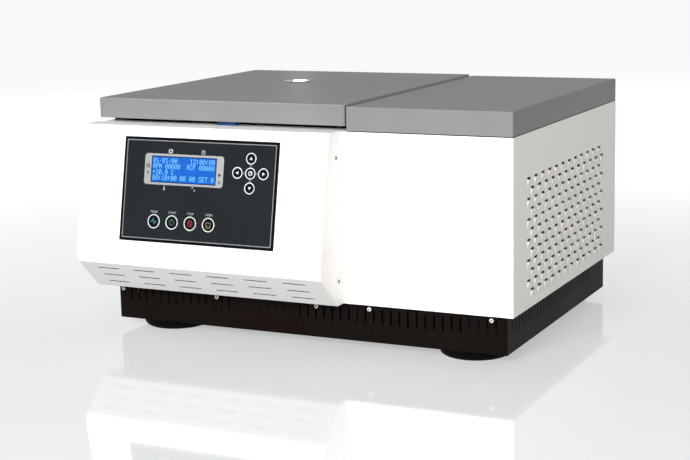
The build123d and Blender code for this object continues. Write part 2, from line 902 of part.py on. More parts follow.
def motor_housing():
    z0 = motor_foot_z() + motor_plate_thickness
    top = chassis_z - chassis_thickness - motor_top_gap - z0
    neck = bowl_z + motor_neck_rise - z0
    bore = spindle_radius + spindle_clearance
    bottom = neck - spindle_depth - spindle_end_gap
    return turned(chamber_x, chamber_y, z0, (0, 0), (motor_radius, 0), (motor_radius, top),
                  (motor_neck_radius, top), (motor_neck_radius, neck), (bore, neck), (bore, bottom),
                  (0, bottom))


def motor_plate():
    plate = RegularPolygon(motor_plate_radius, 3, rotation=90)
    return Pos(chamber_x, chamber_y, motor_foot_z()) * extrude(plate, motor_plate_thickness)


def rubber_mounts():
    mounts = []
    for place in PolarLocations(mount_circle, 3, start_angle=90):
        mounts.append(Pos(chamber_x, chamber_y, floor_z) * place * rod(mount_radius, mount_height))
    middle = Pos(compressor_x, compressor_y, floor_z)
    length = compressor_length - 2 * grommet_radius
    width = compressor_width - 2 * grommet_radius
    for place in GridLocations(length, width, 2, 2):
        mounts.append(middle * place * rod(grommet_radius, grommet_height))
    return mounts


def spindle():
    neck = bowl_z + motor_neck_rise
    foot = rotor_z - neck
    shoulder = foot + cone_height
    top = foot + rotor_height - rotor_dish() + nut_height - nut_cap
    return turned(chamber_x, chamber_y, neck, (0, -spindle_depth), (spindle_radius, -spindle_depth),
                  (spindle_radius, foot), (cone_radius, foot), (cone_top_radius, shoulder),
                  (thread_radius, shoulder), (thread_radius, top), (0, top))


def rotor_dish():
    """Depth of the dished top, whose flats stand square to the tubes."""
    return (rotor_dish_radius - rotor_hub_radius) * tan(radians(tube_angle))


def rotor_body():
    gap = rotor_bore_clearance
    bore = thread_radius + gap
    body = turned(0, 0, 0, (cone_radius + gap, 0), (rotor_foot_radius, 0), (rotor_radius, rotor_belt_low),
                  (rotor_radius, rotor_belt_high), (rotor_crown_radius, rotor_height), (bore, rotor_height),
                  (bore, cone_height + gap), (cone_top_radius + gap, cone_height + gap))
    lean = radians(tube_angle)
    mouth_z = rotor_height - (rotor_dish_radius - tube_circle) * tan(lean)
    mouth = Plane((tube_circle, 0, mouth_z), (cos(lean), 0, sin(lean)), (-sin(lean), 0, cos(lean))).location
    wide = 4 * rotor_radius
    above = mouth * Box(wide, wide, rotor_radius, align=standing)
    cavity = mouth * Cylinder(tube_radius, tube_depth, align=hanging)
    turns = [Rot(0, 0, n * 360 / tube_count) for n in range(tube_count)]
    dish = Pos(0, 0, rotor_height - rotor_dish()) * rod(rotor_radius, rotor_dish())
    for turn in turns:
        dish &= turn * above
    body -= dish
    body -= [turn * cavity for turn in turns]
    return Pos(chamber_x, chamber_y, rotor_z) * body


def rotor_nut():
    z0 = rotor_z + rotor_height - rotor_dish()
    bore = thread_radius + spindle_clearance
    bored = nut_height - nut_cap
    return turned(chamber_x, chamber_y, z0, (bore, 0), (nut_radius, 0), (nut_radius, nut_height),
                  (0, nut_height), (0, bored), (bore, bored))


# Cooling set

def compressor():
    outline = RectangleRounded(compressor_length, compressor_width, compressor_corner)
    can = extrude(outline, compressor_height)
    can = chamfer(can.faces().sort_by(Axis.Z)[-1].edges(), compressor_dome)
    can = chamfer(can.faces().sort_by(Axis.Z)[0].edges(), compressor_dome)
    foot_length = compressor_length + 2 * compressor_foot_reach
    foot = Box(foot_length, compressor_width, compressor_foot_thickness, align=standing)
    return Pos(compressor_x, compressor_y, floor_z + grommet_height) * (can + foot)


def condenser():
    half = condenser_thickness / 2
    grown = half + condenser_flange
    z1 = floor_z + condenser_height
    core = block(condenser_x - half, condenser_x + half, condenser_y0, condenser_y1, floor_z, z1)
    for y in (condenser_y0 - condenser_plate, condenser_y1):
        z2 = z1 + 2 * condenser_flange
        core += block(condenser_x - grown, condenser_x + grown, y, y + condenser_plate, floor_z, z2)
    return core


def fan_x():
    """Where the shroud meets the condenser."""
    return condenser_x - condenser_thickness / 2


def fan_z():
    return floor_z + condenser_height / 2


def fan_y():
    return (condenser_y0 + condenser_y1) / 2


def fan_shroud():
    x1 = fan_x()
    x0 = x1 - shroud_depth
    y0 = condenser_y0
    y1 = condenser_y1
    z1 = floor_z + condenser_height
    wall = shroud_wall
    body = block(x0, x1, y0, y1, floor_z, z1)
    inner = block(x0 + wall, x1, y0 + wall, y1 - wall, floor_z + wall, z1 - wall)
    return body - inner - along_x(x0, fan_y(), fan_z()) * rod(fan_radius + fan_clearance, wall)


def hub_x():
    return fan_x() - shroud_depth / 2 - fan_hub_length / 2


def fan_blades():
    hub = rod(fan_hub_radius, fan_hub_length)
    half = fan_blade_chord / 2
    camber = ThreePointArc((-half, 0), (0, fan_blade_camber), (half, 0))
    section = Plane.YZ.offset(fan_hub_radius - fan_blade_root) * trace(camber, fan_blade_thickness)
    blade = Pos(0, 0, fan_hub_length / 2) * Rot(fan_blade_pitch, 0, 0) * extrude(section, fan_radius)
    blade &= Cylinder(fan_radius, 2 * fan_hub_length)
    fan = hub + [Rot(0, 0, n * 360 / fan_blade_count) * blade for n in range(fan_blade_count)]
    fan -= rod(fan_shaft_radius + spindle_clearance, fan_shaft_length)
    return along_x(hub_x(), fan_y(), fan_z()) * fan


def fan_motor():
    x1 = hub_x() - fan_motor_gap
    can = along_x(x1 - fan_motor_length, fan_y(), fan_z()) * rod(fan_motor_radius, fan_motor_length)
    can += along_x(x1, fan_y(), fan_z()) * rod(fan_shaft_radius, fan_shaft_length)
    plate_x = fan_x() - shroud_depth
    arm_x = x1 - fan_motor_length
    low = fan_z() - fan_arm / 2
    high = fan_z() + fan_arm / 2
    bar = block(arm_x, arm_x + fan_arm_thickness, condenser_y0, condenser_y1, low, high)
    for y in (condenser_y0, condenser_y1 - fan_arm_thickness):
        bar += block(arm_x, plate_x, y, y + fan_arm_thickness, low, high)
    return can + bar


def pipe(*points):
    """A tube of straight runs with mitred elbows."""
    route = Polyline(*points)
    start = Plane(origin=route @ 0, z_dir=route % 0)
    return sweep(start * Circle(pipe_radius), path=route, transition=Transition.RIGHT)


def refrigerant_lines():
    top_z = floor_z + grommet_height + compressor_height
    cond_end = condenser_y1 + condenser_plate
    discharge_x = compressor_x + discharge_across
    drop_z = top_z - pipe_drop
    discharge = pipe(
        (discharge_x, compressor_y, top_z),
        (discharge_x, compressor_y, top_z + pipe_rise),
        (condenser_x, compressor_y, top_z + pipe_rise),
        (condenser_x, compressor_y, drop_z),
        (condenser_x, cond_end, drop_z),
    )
    evap_x = chamber_x + insulation_width / 2
    suction_x = compressor_x - suction_across
    suction_y = compressor_y - suction_forward
    suction = pipe(
        (suction_x, suction_y, top_z),
        (suction_x, suction_y, top_z + pipe_rise),
        (suction_x, duct_y(), top_z + pipe_rise),
        (suction_x, duct_y(), duct_z()),
        (evap_x, duct_y(), duct_z()),
    )
    return [discharge, suction]


# Electronics and mains

def motor_drive():
    x = left_x + drive_across
    y = front_y + electronics_back
    y0 = y - drive_depth / 2
    y1 = y + drive_depth / 2
    top = floor_z + drive_height
    pitch = (drive_width - drive_fin) / (drive_fins - 1)
    body = block(x - drive_width / 2, x + drive_width / 2, y0, y1, floor_z, top)
    for n in range(drive_fins - 1):
        x0 = x - drive_width / 2 + n * pitch + drive_fin
        body -= block(x0, x0 + pitch - drive_fin, y0, y1, top - drive_fin_depth, top)
    return body


def power_supply():
    x = left_x + drive_across + drive_width / 2 + supply_gap + supply_width / 2
    y = front_y + electronics_back
    box = Box(supply_width, supply_depth, supply_height, align=standing)
    return Pos(x, y, floor_z) * box


def inlet_x():
    return right_x - inlet_across


def inlet_z():
    return body_z + inlet_up


def rocker_y():
    return rear_y + inlet_flange - rocker_sunk


def rocker_z():
    return inlet_z() + rocker_rise


def mains_inlet():
    x = inlet_x()
    z = inlet_z()
    face = rear_y + inlet_flange
    body = Pos(x, face, z) * Box(inlet_width, inlet_flange, inlet_height, align=before)
    half = inlet_width / 2 - inlet_flange - layer_gap
    tall = inlet_height / 2 - inlet_flange - layer_gap
    body += block(x - half, x + half, rear_y - inlet_body_depth, rear_y, z - tall, z + tall)
    socket = Box(socket_width, socket_depth, socket_height, align=before)
    body -= Pos(x, face, z - socket_drop) * socket
    pocket = rocker_width / 2 + rocker_clearance
    body -= along_x(x - pocket, rocker_y(), rocker_z()) * rod(rocker_radius + rocker_clearance, 2 * pocket)
    return body


def power_rocker():
    r = rocker_radius
    outline = ((-r, -r), (rocker_low_out, -r), (rocker_valley_out, 0), (rocker_tip_out, r), (-r, r))
    faces = Polyline(*outline, close=True)
    profile = make_face(faces) & Circle(r)
    start = Plane.YZ.offset(inlet_x() - rocker_width / 2).location * Pos(rocker_y(), rocker_z(), 0)
    return start * extrude(profile, rocker_width)


# Fasteners

def case_screws():
    head = rod(screw_radius, screw_head)
    heads = []
    y = front_y + base_inset - screw_head
    for across in base_screws_left:
        heads.append(along_y(left_x + across, y, body_z - base_screw_drop_left) * head)
    for across in base_screws_right:
        heads.append(along_y(right_x - across, y, body_z - base_screw_drop_right) * head)
    y = front_y - console_screw_back
    for z in (body_z + console_screw_margin, deck_z - console_screw_margin):
        heads.append(along_x(console_right_x, y, z) * head)
    return heads


nodes = {
    "base_pan": base_pan,
    "rubber_feet": rubber_feet,
    "left_panel": left_panel,
    "right_panel": right_panel,
    "rear_panel": rear_panel,
    "bulkhead": bulkhead,
    "deck_plate": deck_plate,
    "top_cover": top_cover,
    "console_shell": console_shell,
    "case_screws": case_screws,
    "overlay_panel": overlay_panel,
    "lcd_bezel": lcd_bezel,
    "lcd_glass": lcd_glass,
    "lcd_module": lcd_module,
    "control_board": control_board,
    "chassis_plate": chassis_plate,
    "chassis_posts": chassis_posts,
    "chamber_bowl": chamber_bowl,
    "evaporator": evaporator,
    "guard_ring": guard_ring,
    "insulation": insulation,
    "chamber_gasket": chamber_gasket,
    "deck_seal": deck_seal,
    "motor_housing": motor_housing,
    "motor_plate": motor_plate,
    "rubber_mounts": rubber_mounts,
    "spindle": spindle,
    "rotor_body": rotor_body,
    "rotor_nut": rotor_nut,
    "lid_shell": lid_shell,
    "lid_liner": lid_liner,
    "window_ring": window_ring,
    "window_glass": window_glass,
    "lid_striker": lid_striker,
    "hinge_pins": hinge_pins,
    "latch_guide": latch_guide,
    "latch_housing": latch_housing,
    "latch_bolt": latch_bolt,
    "lock_motor": lock_motor,
    "compressor": compressor,
    "condenser": condenser,
    "fan_shroud": fan_shroud,
    "fan_blades": fan_blades,
    "fan_motor": fan_motor,
    "refrigerant_lines": refrigerant_lines,
    "motor_drive": motor_drive,
    "power_supply": power_supply,
    "mains_inlet": mains_inlet,
    "power_rocker": power_rocker,
}

for name, make in nodes.items():
    shape = make()
    if isinstance(shape, list):
        shape = Compound(children=shape)
    export_step(shape, f"parts/{name}.step")

for name in key_places():
    export_step(key(name), f"parts/key_{name}.step")

for name, fixed in (("case_hinge_leaves", True), ("lid_hinge_leaves", False)):
    export_step(Compound(children=[leaf(x0, fixed) for x0 in hinge_starts()]), f"parts/{name}.step")
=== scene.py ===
import json
from math import cos, pi, radians, sin

import bmesh
import bpy
from mathutils import Matrix, Vector
from mathutils.bvhtree import BVHTree


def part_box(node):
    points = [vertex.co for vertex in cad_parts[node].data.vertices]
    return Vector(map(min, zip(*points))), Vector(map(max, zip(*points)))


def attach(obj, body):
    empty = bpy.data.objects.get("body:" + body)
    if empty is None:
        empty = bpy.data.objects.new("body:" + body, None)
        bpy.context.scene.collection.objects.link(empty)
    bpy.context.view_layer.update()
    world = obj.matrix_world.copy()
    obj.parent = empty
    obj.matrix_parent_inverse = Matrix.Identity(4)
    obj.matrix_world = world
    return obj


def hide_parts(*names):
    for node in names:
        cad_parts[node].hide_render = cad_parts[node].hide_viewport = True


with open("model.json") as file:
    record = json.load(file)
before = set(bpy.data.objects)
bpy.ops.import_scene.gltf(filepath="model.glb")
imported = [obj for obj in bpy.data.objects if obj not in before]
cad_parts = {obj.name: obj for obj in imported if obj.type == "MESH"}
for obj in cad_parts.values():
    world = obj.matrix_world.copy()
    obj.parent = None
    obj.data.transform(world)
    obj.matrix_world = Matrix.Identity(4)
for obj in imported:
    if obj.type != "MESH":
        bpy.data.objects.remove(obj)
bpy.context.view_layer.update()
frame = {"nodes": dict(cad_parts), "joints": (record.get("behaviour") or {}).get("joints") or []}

# Benchtop centrifuge: finishes, panel print, display, screws, small fittings and the studio, in metres.

MM = 0.001


def middle_of(node):
    """The middle of a node's box."""
    low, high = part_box(node)
    return (low + high) / 2


# Camera, at the photograph's angle

camera_place = (1.1139, -2.34325, 0.6421)
camera_pitch = 10.765
camera_yaw = 25.98
camera_roll = -1.24
camera_focal = 1543.2  # in pixels of the photograph
camera_reach = 30
photo_width = 690
sensor_width = 36.0


def make_camera():
    data = bpy.data.cameras.new("camera")
    data.sensor_width = sensor_width
    data.lens = camera_focal / photo_width * sensor_width
    data.clip_end = camera_reach
    camera = bpy.data.objects.new("camera", data)
    bpy.context.scene.collection.objects.link(camera)
    yaw = Matrix.Rotation(radians(camera_yaw), 4, "Z")
    pitch = Matrix.Rotation(radians(90 - camera_pitch), 4, "X")
    roll = Matrix.Rotation(radians(camera_roll), 4, "Z")
    camera.matrix_world = Matrix.Translation(camera_place) @ yaw @ pitch @ roll
    bpy.context.scene.camera = camera


# Material tools

cloud_noise = {"Detail": 4.0, "Roughness": 0.6}
speck_noise = {"Detail": 3.0, "Roughness": 0.7}
grain_noise = {"Detail": 2.0, "Roughness": 0.5}
noise_low = 0.3
noise_high = 0.7
turning_marks = {"Scale": 180.0, "Distortion": 0.3}
coat_gloss = 0.1
smoothest = 0.02


def node_tools(material):
    """Two short calls for building a material's nodes: one adds a node, and one links two sockets."""
    tree = material.node_tree

    def add(kind, **values):
        node = tree.nodes.new("ShaderNode" + kind)
        for name, value in values.items():
            if name in node.inputs:
                node.inputs[name].default_value = value
            else:
                setattr(node, name, value)
        return node

    return add, tree.links.new


def shader_of(material):
    return material.node_tree.nodes["Principled BSDF"]


def set_sockets(node, values):
    for name, value in values.items():
        node.inputs[name].default_value = value


def finish(name, color, rough, metallic=0.0, patch=0.04, patch_scale=14.0, tint=None, grain=0.0,
           grain_scale=900.0, rough_patch=0.06, stretch=(1, 1, 1), coat=0.0, specular=0.5, speck=0.0,
           speck_scale=350.0, turned_about=None, turned_depth=0.0):
    """A finish with uneven colour and gloss, specks, and a fine grain or the rings that turning leaves.
    Grain and turned_depth are depths, and each scale counts over a metre."""
    material = bpy.data.materials.new(name)
    material.use_nodes = True
    add, link = node_tools(material)
    shader = shader_of(material)
    set_sockets(shader, {"Metallic": metallic, "Specular IOR Level": specular, "Coat Weight": coat,
                         "Coat Roughness": coat_gloss})
    place = add("TexCoord").outputs["Object"]
    scaled = add("Mapping", Scale=stretch)
    link(place, scaled.inputs["Vector"])

    def noise(count, kind):
        dots = add("TexNoise", Scale=count, **kind)
        link(scaled.outputs["Vector"], dots.inputs["Vector"])
        return dots.outputs["Fac"]

    def relief(height, depth):
        bump = add("Bump", Strength=1.0, Distance=depth)
        link(height, bump.inputs["Height"])
        link(bump.outputs["Normal"], shader.inputs["Normal"])

    cloud = noise(patch_scale, cloud_noise)
    ramp = add("ValToRGB")
    light = [min(1.0, c * (1 + patch)) for c in color]
    dark = [c * (1 - patch) for c in (tint or color)]
    ramp.color_ramp.elements[0].position = noise_low
    ramp.color_ramp.elements[0].color = (*dark, 1)
    ramp.color_ramp.elements[1].position = noise_high
    ramp.color_ramp.elements[1].color = (*light, 1)
    link(cloud, ramp.inputs["Fac"])
    colour = ramp.outputs["Color"]
    if speck:
        depth = add("MapRange")
        set_sockets(depth, {"From Min": noise_low, "From Max": noise_high, "To Min": 1 - speck,
                            "To Max": 1 + speck})
        link(noise(speck_scale, speck_noise), depth.inputs["Value"])
        shade = add("VectorMath", operation="SCALE")
        link(colour, shade.inputs[0])
        link(depth.outputs["Result"], shade.inputs["Scale"])
        colour = shade.outputs["Vector"]
    link(colour, shader.inputs["Base Color"])
    gloss = add("MapRange")
    set_sockets(gloss, {"To Min": max(smoothest, rough - rough_patch),
                        "To Max": min(1.0, rough + rough_patch)})
    link(cloud, gloss.inputs["Value"])
    link(gloss.outputs["Result"], shader.inputs["Roughness"])
    if turned_about is not None:
        centred = add("Mapping", Location=(-turned_about.x, -turned_about.y, 0))
        link(place, centred.inputs["Vector"])
        rings = add("TexWave", wave_type="RINGS", rings_direction="Z", **turning_marks)
        link(centred.outputs["Vector"], rings.inputs["Vector"])
        relief(rings.outputs["Fac"], turned_depth)
    elif grain:
        relief(noise(grain_scale, grain_noise), grain)
    return material


def lit(name, color, strength, rough=0.2):
    """A lit surface, such as a display's, with slightly uneven brightness."""
    material = finish(name, color, rough, patch=0.05, patch_scale=60)
    link = node_tools(material)[1]
    ramp = next(node for node in material.node_tree.nodes if node.bl_idname == "ShaderNodeValToRGB")
    link(ramp.outputs["Color"], shader_of(material).inputs["Emission Color"])
    set_sockets(shader_of(material), {"Emission Strength": strength})
    return material


def clear(name, color, rough=0.03, ior=1.5):
    """Clear glass with a faint unevenness of gloss."""
    material = finish(name, color, rough, patch=0.02, patch_scale=40, rough_patch=0.01)
    set_sockets(shader_of(material), {"Transmission Weight": 1.0, "IOR": ior})
    return material


# Paints, rubber and foam

white = finish("white_paint", (0.83, 0.825, 0.81), 0.42, patch=0.012, patch_scale=5, grain=0.012 * MM,
               grain_scale=1100)
# The same white paint tinted warm for the console's shell: painted light, the warm cast that its side and
# chamfer catch
warm_lit_white = finish("console_paint_warm_light", (0.82, 0.787, 0.765), 0.42, patch=0.012, patch_scale=5,
                    grain=0.012 * MM, grain_scale=1100)
grey = finish("grey_paint", (0.192, 0.19, 0.189), 0.32, patch=0.05, patch_scale=9, grain=0.03 * MM,
              grain_scale=1300, specular=0.06, speck=0.035, speck_scale=700)
# Brown patches and specks in the black paint: partly its uneven tone, partly painted sheen, the mottled
# reflections on it
black = finish("black_paint", (0.0045, 0.0035, 0.003), 0.5, patch=0.25, patch_scale=6,
               tint=(0.007, 0.003, 0.0015), grain=0.02 * MM, grain_scale=1200, rough_patch=0.1,
               specular=0.05, speck=0.3, speck_scale=130)
# Painted shade: a near black finish for the insides of the sheet metal, so that slots and openings read dark
inner_shade = finish("inner_shade", (0.012, 0.012, 0.013), 0.6, patch=0.15, patch_scale=20, grain=0.03 * MM,
                grain_scale=1200, specular=0.1)
# Black enamel for the inner machinery: partly the parts' own paint, partly painted shade, so the insides seen
# through the slots read dark
enamel_and_shade = finish("enamel_and_shade", (0.02, 0.02, 0.022), 0.3, patch=0.15, patch_scale=12, grain=0.04 * MM,
                grain_scale=400)
rubber = finish("rubber", (0.0018, 0.0015, 0.0015), 0.6, patch=0.2, patch_scale=30, grain=0.04 * MM,
                grain_scale=1600, specular=0.05)
foam = finish("foam", (0.72, 0.62, 0.4), 0.85, patch=0.12, patch_scale=60, grain=0.2 * MM, grain_scale=500)

# Metals

rotor_axis = middle_of("rotor_body")
turned_steel = finish("turned_steel", (0.62, 0.62, 0.63), 0.3, metallic=1.0, patch=0.05, patch_scale=9,
                      turned_about=rotor_axis, turned_depth=0.01 * MM)
anodised = finish("anodised", (0.1, 0.105, 0.115), 0.36, metallic=0.7, patch=0.1, patch_scale=12,
                  turned_about=rotor_axis, turned_depth=0.01 * MM)
stainless = finish("stainless", (0.6, 0.59, 0.57), 0.3, metallic=1.0, patch=0.04, patch_scale=700,
                   stretch=(0.02, 1, 1), grain=0.004 * MM, grain_scale=2200, rough_patch=0.04)
bright = finish("bright_steel", (0.78, 0.78, 0.79), 0.16, metallic=1.0, patch=0.04, patch_scale=150,
                grain=0.004 * MM)
# Pale steel, hardly metallic, so that screw heads light up as if glinting: a painted highlight
highlit_screw_steel = finish("highlit_screw_steel", (0.82, 0.81, 0.79), 0.3, metallic=0.15, patch=0.1, patch_scale=200,
                     grain=0.01 * MM)
# A darker copy for the same screws where they show on the console's side: painted shade
shaded_screw_zinc = finish("shaded_screw_zinc", (0.32, 0.305, 0.29), 0.42, metallic=0.6, patch=0.15, patch_scale=300,
                   grain=0.01 * MM)
zinc = finish("zinc_plate", (0.55, 0.56, 0.58), 0.38, metallic=1.0, patch=0.08, patch_scale=18,
              grain=0.01 * MM, rough_patch=0.1)
# Painted shade for the cross recesses of screw heads
recess_shade = finish("recess_shade", (0.04, 0.04, 0.04), 0.5, patch=0.1, patch_scale=200)
alloy = finish("alloy", (0.62, 0.63, 0.64), 0.34, metallic=1.0, patch=0.06, patch_scale=40, grain=0.01 * MM)
copper = finish("copper", (0.62, 0.27, 0.14), 0.28, metallic=1.0, patch=0.15, patch_scale=70,
                tint=(0.4, 0.2, 0.12))
silver = finish("bezel_metal", (0.345, 0.33, 0.33), 0.38, metallic=0.25, patch=0.05, patch_scale=25,
                stretch=(0.05, 1, 1), grain=0.006 * MM, grain_scale=2500)
window_rim = finish("window_brass", (0.6, 0.36, 0.22), 0.3, metallic=0.85, patch=0.2, patch_scale=60)

# Plastics, film, boards and glass

black_plastic = finish("black_plastic", (0.018, 0.018, 0.019), 0.45, patch=0.1, patch_scale=40,
                       grain=0.03 * MM, grain_scale=1800)
blue_plastic = finish("blue_plastic", (0.005, 0.042, 0.13), 0.3, patch=0.3, patch_scale=120, coat=0.2)
film = finish("panel_film", (0.0105, 0.0125, 0.0145), 0.36, patch=0.06, patch_scale=7, grain=0.006 * MM,
              grain_scale=2500, specular=0.1)
film_edge = finish("film_edge", (0.002, 0.002, 0.003), 0.35, patch=0.1, patch_scale=20, specular=0.08)
key_cap = finish("key_cap", (0.004, 0.004, 0.005), 0.35, patch=0.1, patch_scale=60, grain=0.008 * MM,
                 specular=0.1)
board_green = finish("board", (0.02, 0.12, 0.06), 0.4, patch=0.25, patch_scale=150)
glass = clear("window_glass", (0.93, 0.95, 0.95))

# Printing inks

line_ink = finish("line_ink", (0.2, 0.205, 0.21), 0.4, patch=0.08, patch_scale=60)
pale_ink = finish("pale_ink", (0.55, 0.56, 0.58), 0.5, patch=0.05, patch_scale=300)
ring_ink = finish("ring_ink", (0.6, 0.6, 0.6), 0.45, patch=0.05, patch_scale=200)
teal_ink = finish("teal_ink", (0.008, 0.13, 0.18), 0.45, patch=0.1, patch_scale=300)
green_ink = finish("green_ink", (0.012, 0.06, 0.028), 0.45, patch=0.1, patch_scale=300)
red_ink = finish("red_ink", (0.17, 0.014, 0.018), 0.45, patch=0.1, patch_scale=300)
amber_ink = finish("amber_ink", (0.11, 0.095, 0.03), 0.45, patch=0.1, patch_scale=300)
sign_ink = finish("sign_ink", (0.03, 0.03, 0.028), 0.5, patch=0.1, patch_scale=200)
grey_ink = finish("grey_ink", (0.16, 0.17, 0.18), 0.5, patch=0.08, patch_scale=300)
word_ink = finish("word_ink", (0.34, 0.35, 0.36), 0.5, patch=0.08, patch_scale=300)

# The lit display

display = lit("display_blue", (0.001, 0.057, 0.265), 0.75, rough=0.12)
glyph = lit("display_glyph", (0.1, 0.28, 0.45), 0.95)
# Painted shade: dark navy for a band round the display's glass, where the recessed frame shades it
edge_shade_navy = finish("display_edge_shade", (0.002, 0.008, 0.05), 0.3, patch=0.1, patch_scale=80, specular=0.1)

key_names = ("up", "left", "enter", "right", "down", "pulse", "start", "stop", "open")
cad_finishes = {
    white: ("left_panel", "right_panel", "rear_panel", "deck_plate"),
    warm_lit_white: ("console_shell",),
    grey: ("top_cover", "lid_shell"),
    black: ("base_pan",),
    rubber: ("rubber_feet", "rubber_mounts", "chamber_gasket", "deck_seal"),
    foam: ("insulation",),
    zinc: ("bulkhead", "chassis_plate", "chassis_posts", "motor_plate"),
    stainless: ("lid_liner", "case_hinge_leaves", "lid_hinge_leaves"),
    turned_steel: ("chamber_bowl", "spindle", "guard_ring", "rotor_nut"),
    bright: ("hinge_pins", "latch_bolt", "lid_striker", "case_screws"),
    anodised: ("rotor_body",),
    alloy: ("evaporator",),
    enamel_and_shade: ("motor_housing", "compressor", "condenser", "fan_shroud", "power_supply", "motor_drive"),
    copper: ("refrigerant_lines",),
    board_green: ("control_board", "lcd_module"),
    black_plastic: ("fan_blades", "fan_motor", "mains_inlet", "power_rocker", "latch_housing", "lock_motor"),
    blue_plastic: ("latch_guide",),
    film: ("overlay_panel",),
    key_cap: tuple(f"key_{name}" for name in key_names),
    silver: ("lcd_bezel",),
    display: ("lcd_glass",),
    window_rim: ("window_ring",),
    glass: ("window_glass",),
}


def dress_cad():
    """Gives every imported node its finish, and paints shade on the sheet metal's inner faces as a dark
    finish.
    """
    for material, names in cad_finishes.items():
        for name in names:
            node = frame["nodes"][name]
            node.data.materials.clear()
            node.data.materials.append(material)
            for face in node.data.polygons:
                face.material_index = 0
    any_distance = 1.0
    slot_reach = 5 * MM
    hood_reach = 3.2 * MM
    sheet_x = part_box("right_panel")[1].x - hood_reach
    # Painted shade inside the console, the right panel's louvres and the base tray
    shade_inside("console_shell", inner_shade, any_distance)
    shade_inside("right_panel", inner_shade, slot_reach, ((-1, 0, 0), (0, 1, 0)), sheet_x)
    shade_inside("base_pan", inner_shade, any_distance)


def shade_inside(name, material, reach, inward=(), limit=1.0):
    """Paints shade, as a second finish, on a node's faces that look at its own faces within reach, and on
    those that look inward and lie left of a limit in X."""
    mesh = frame["nodes"][name].data
    tree = BVHTree.FromPolygons([v.co for v in mesh.vertices], [tuple(p.vertices) for p in mesh.polygons])
    lift = 0.05 * MM
    nearly_along = 0.98
    mesh.materials.append(material)
    for face in mesh.polygons:
        ahead = tree.ray_cast(face.center + face.normal * lift, face.normal, reach)[0]
        looks_in = any(face.normal.dot(Vector(way)) > nearly_along for way in inward)
        if ahead is not None or (looks_in and face.center.x < limit):
            face.material_index = len(mesh.materials) - 1


# Building pieces

def piece(name, mesh, material, body):
    """A finished mesh as a piece that rides on a body."""
    made = bpy.data.objects.new(name, mesh)
    bpy.context.scene.collection.objects.link(made)
    mesh.materials.append(material)
    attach(made, body)
    return made


def mesh_of(build):
    """A mesh that build fills through bmesh."""
    shape = bmesh.new()
    build(shape)
    bmesh.ops.recalc_face_normals(shape, faces=shape.faces)
    mesh = bpy.data.meshes.new("shape")
    shape.to_mesh(mesh)
    shape.free()
    return mesh


def smooth(made, angle=35):
    for face in made.data.polygons:
        face.use_smooth = True
    made.data.set_sharp_from_angle(angle=radians(angle))
    return made


def placed(shape, outline, place, height):
    """Adds the points of a flat outline, at a height over a placed plane."""
    return [shape.verts.new(place @ Vector((x, y, height))) for x, y in outline]


def skin(shape, loops, closed=False):
    """Adds the faces between each loop of points and the next, and back to the first if closed."""
    pairs = list(zip(loops, loops[1:]))
    if closed:
        pairs.append((loops[-1], loops[0]))
    for first, second in pairs:
        for n in range(len(first)):
            m = (n + 1) % len(first)
            shape.faces.new((first[n], first[m], second[m], second[n]))


def prism(shape, outline, place, low, high):
    """Adds a flat outline as a thin solid between two heights over a placed plane."""
    bottom = placed(shape, outline, place, low)
    top = placed(shape, outline, place, high)
    shape.faces.new(top)
    shape.faces.new(bottom[::-1])
    skin(shape, (bottom, top))


def band(shape, outer, inner, place, low, high):
    """Adds a closed flat band between two outlines of as many points, as a thin solid."""
    sides = ((outer, low), (outer, high), (inner, high), (inner, low))
    skin(shape, [placed(shape, outline, place, height) for outline, height in sides], closed=True)


def circle(radius, x=0.0, y=0.0, count=48):
    angles = [2 * pi * n / count for n in range(count)]
    return [(x + radius * cos(t), y + radius * sin(t)) for t in angles]


def rounded(width, height, radius, x=0.0, y=0.0, steps=6):
    """A rounded rectangle about a centre."""
    points = []
    for corner, (sx, sy) in enumerate(((1, 1), (-1, 1), (-1, -1), (1, -1))):
        cx = x + sx * (width / 2 - radius)
        cy = y + sy * (height / 2 - radius)
        for n in range(steps + 1):
            t = (corner + n / steps) * pi / 2
            points.append((cx + radius * cos(t), cy + radius * sin(t)))
    return points


def bar(x0, y0, x1, y1, width):
    """A straight stroke between two points."""
    along = Vector((x1 - x0, y1 - y0)).normalized()
    across = Vector((-along.y, along.x)) * width / 2
    return [(x0 + across.x, y0 + across.y), (x0 - across.x, y0 - across.y),
            (x1 - across.x, y1 - across.y), (x1 + across.x, y1 + across.y)]


def facing(origin, out, turn=0.0):
    """A placed plane at an origin with its Z along a direction, turned about it."""
    aim = Vector(out).to_track_quat("Z", "Y").to_matrix().to_4x4()
    return Matrix.Translation(origin) @ aim @ Matrix.Rotation(turn, 4, "Z")


# Printing: thin solids that start just under the surface and end just over it

ink = 0.12 * MM
ink_low = 0.02 * MM


def printed(shape, outline, place):
    prism(shape, outline, place, -ink_low, ink)


def printed_over(shape, outline, place):
    """A stroke over one that is printed already."""
    prism(shape, outline, place, ink / 2, ink * 1.5)


def printed_band(shape, outer, inner, place):
    band(shape, outer, inner, place, -ink_low, ink)


def lettering(name, text, size, place, material, body):
    """Generic lettering about the middle of a placed plane."""
    curve = bpy.data.curves.new(name, "FONT")
    curve.body = text
    curve.size = size
    curve.align_x = "CENTER"
    curve.align_y = "CENTER"
    curve.extrude = ink / 2
    source = bpy.data.objects.new(name + "_source", curve)
    bpy.context.scene.collection.objects.link(source)
    depsgraph = bpy.context.evaluated_depsgraph_get()
    mesh = bpy.data.meshes.new_from_object(source.evaluated_get(depsgraph))
    bpy.data.objects.remove(source)
    mesh.transform(place @ Matrix.Translation((0, 0, ink / 2)))
    mesh.materials.clear()
    return piece(name, mesh, material, body)


# Control panel: its plane's X runs across, its Y up the slope and its Z out of the face

overlay_thickness = 1.6 * MM


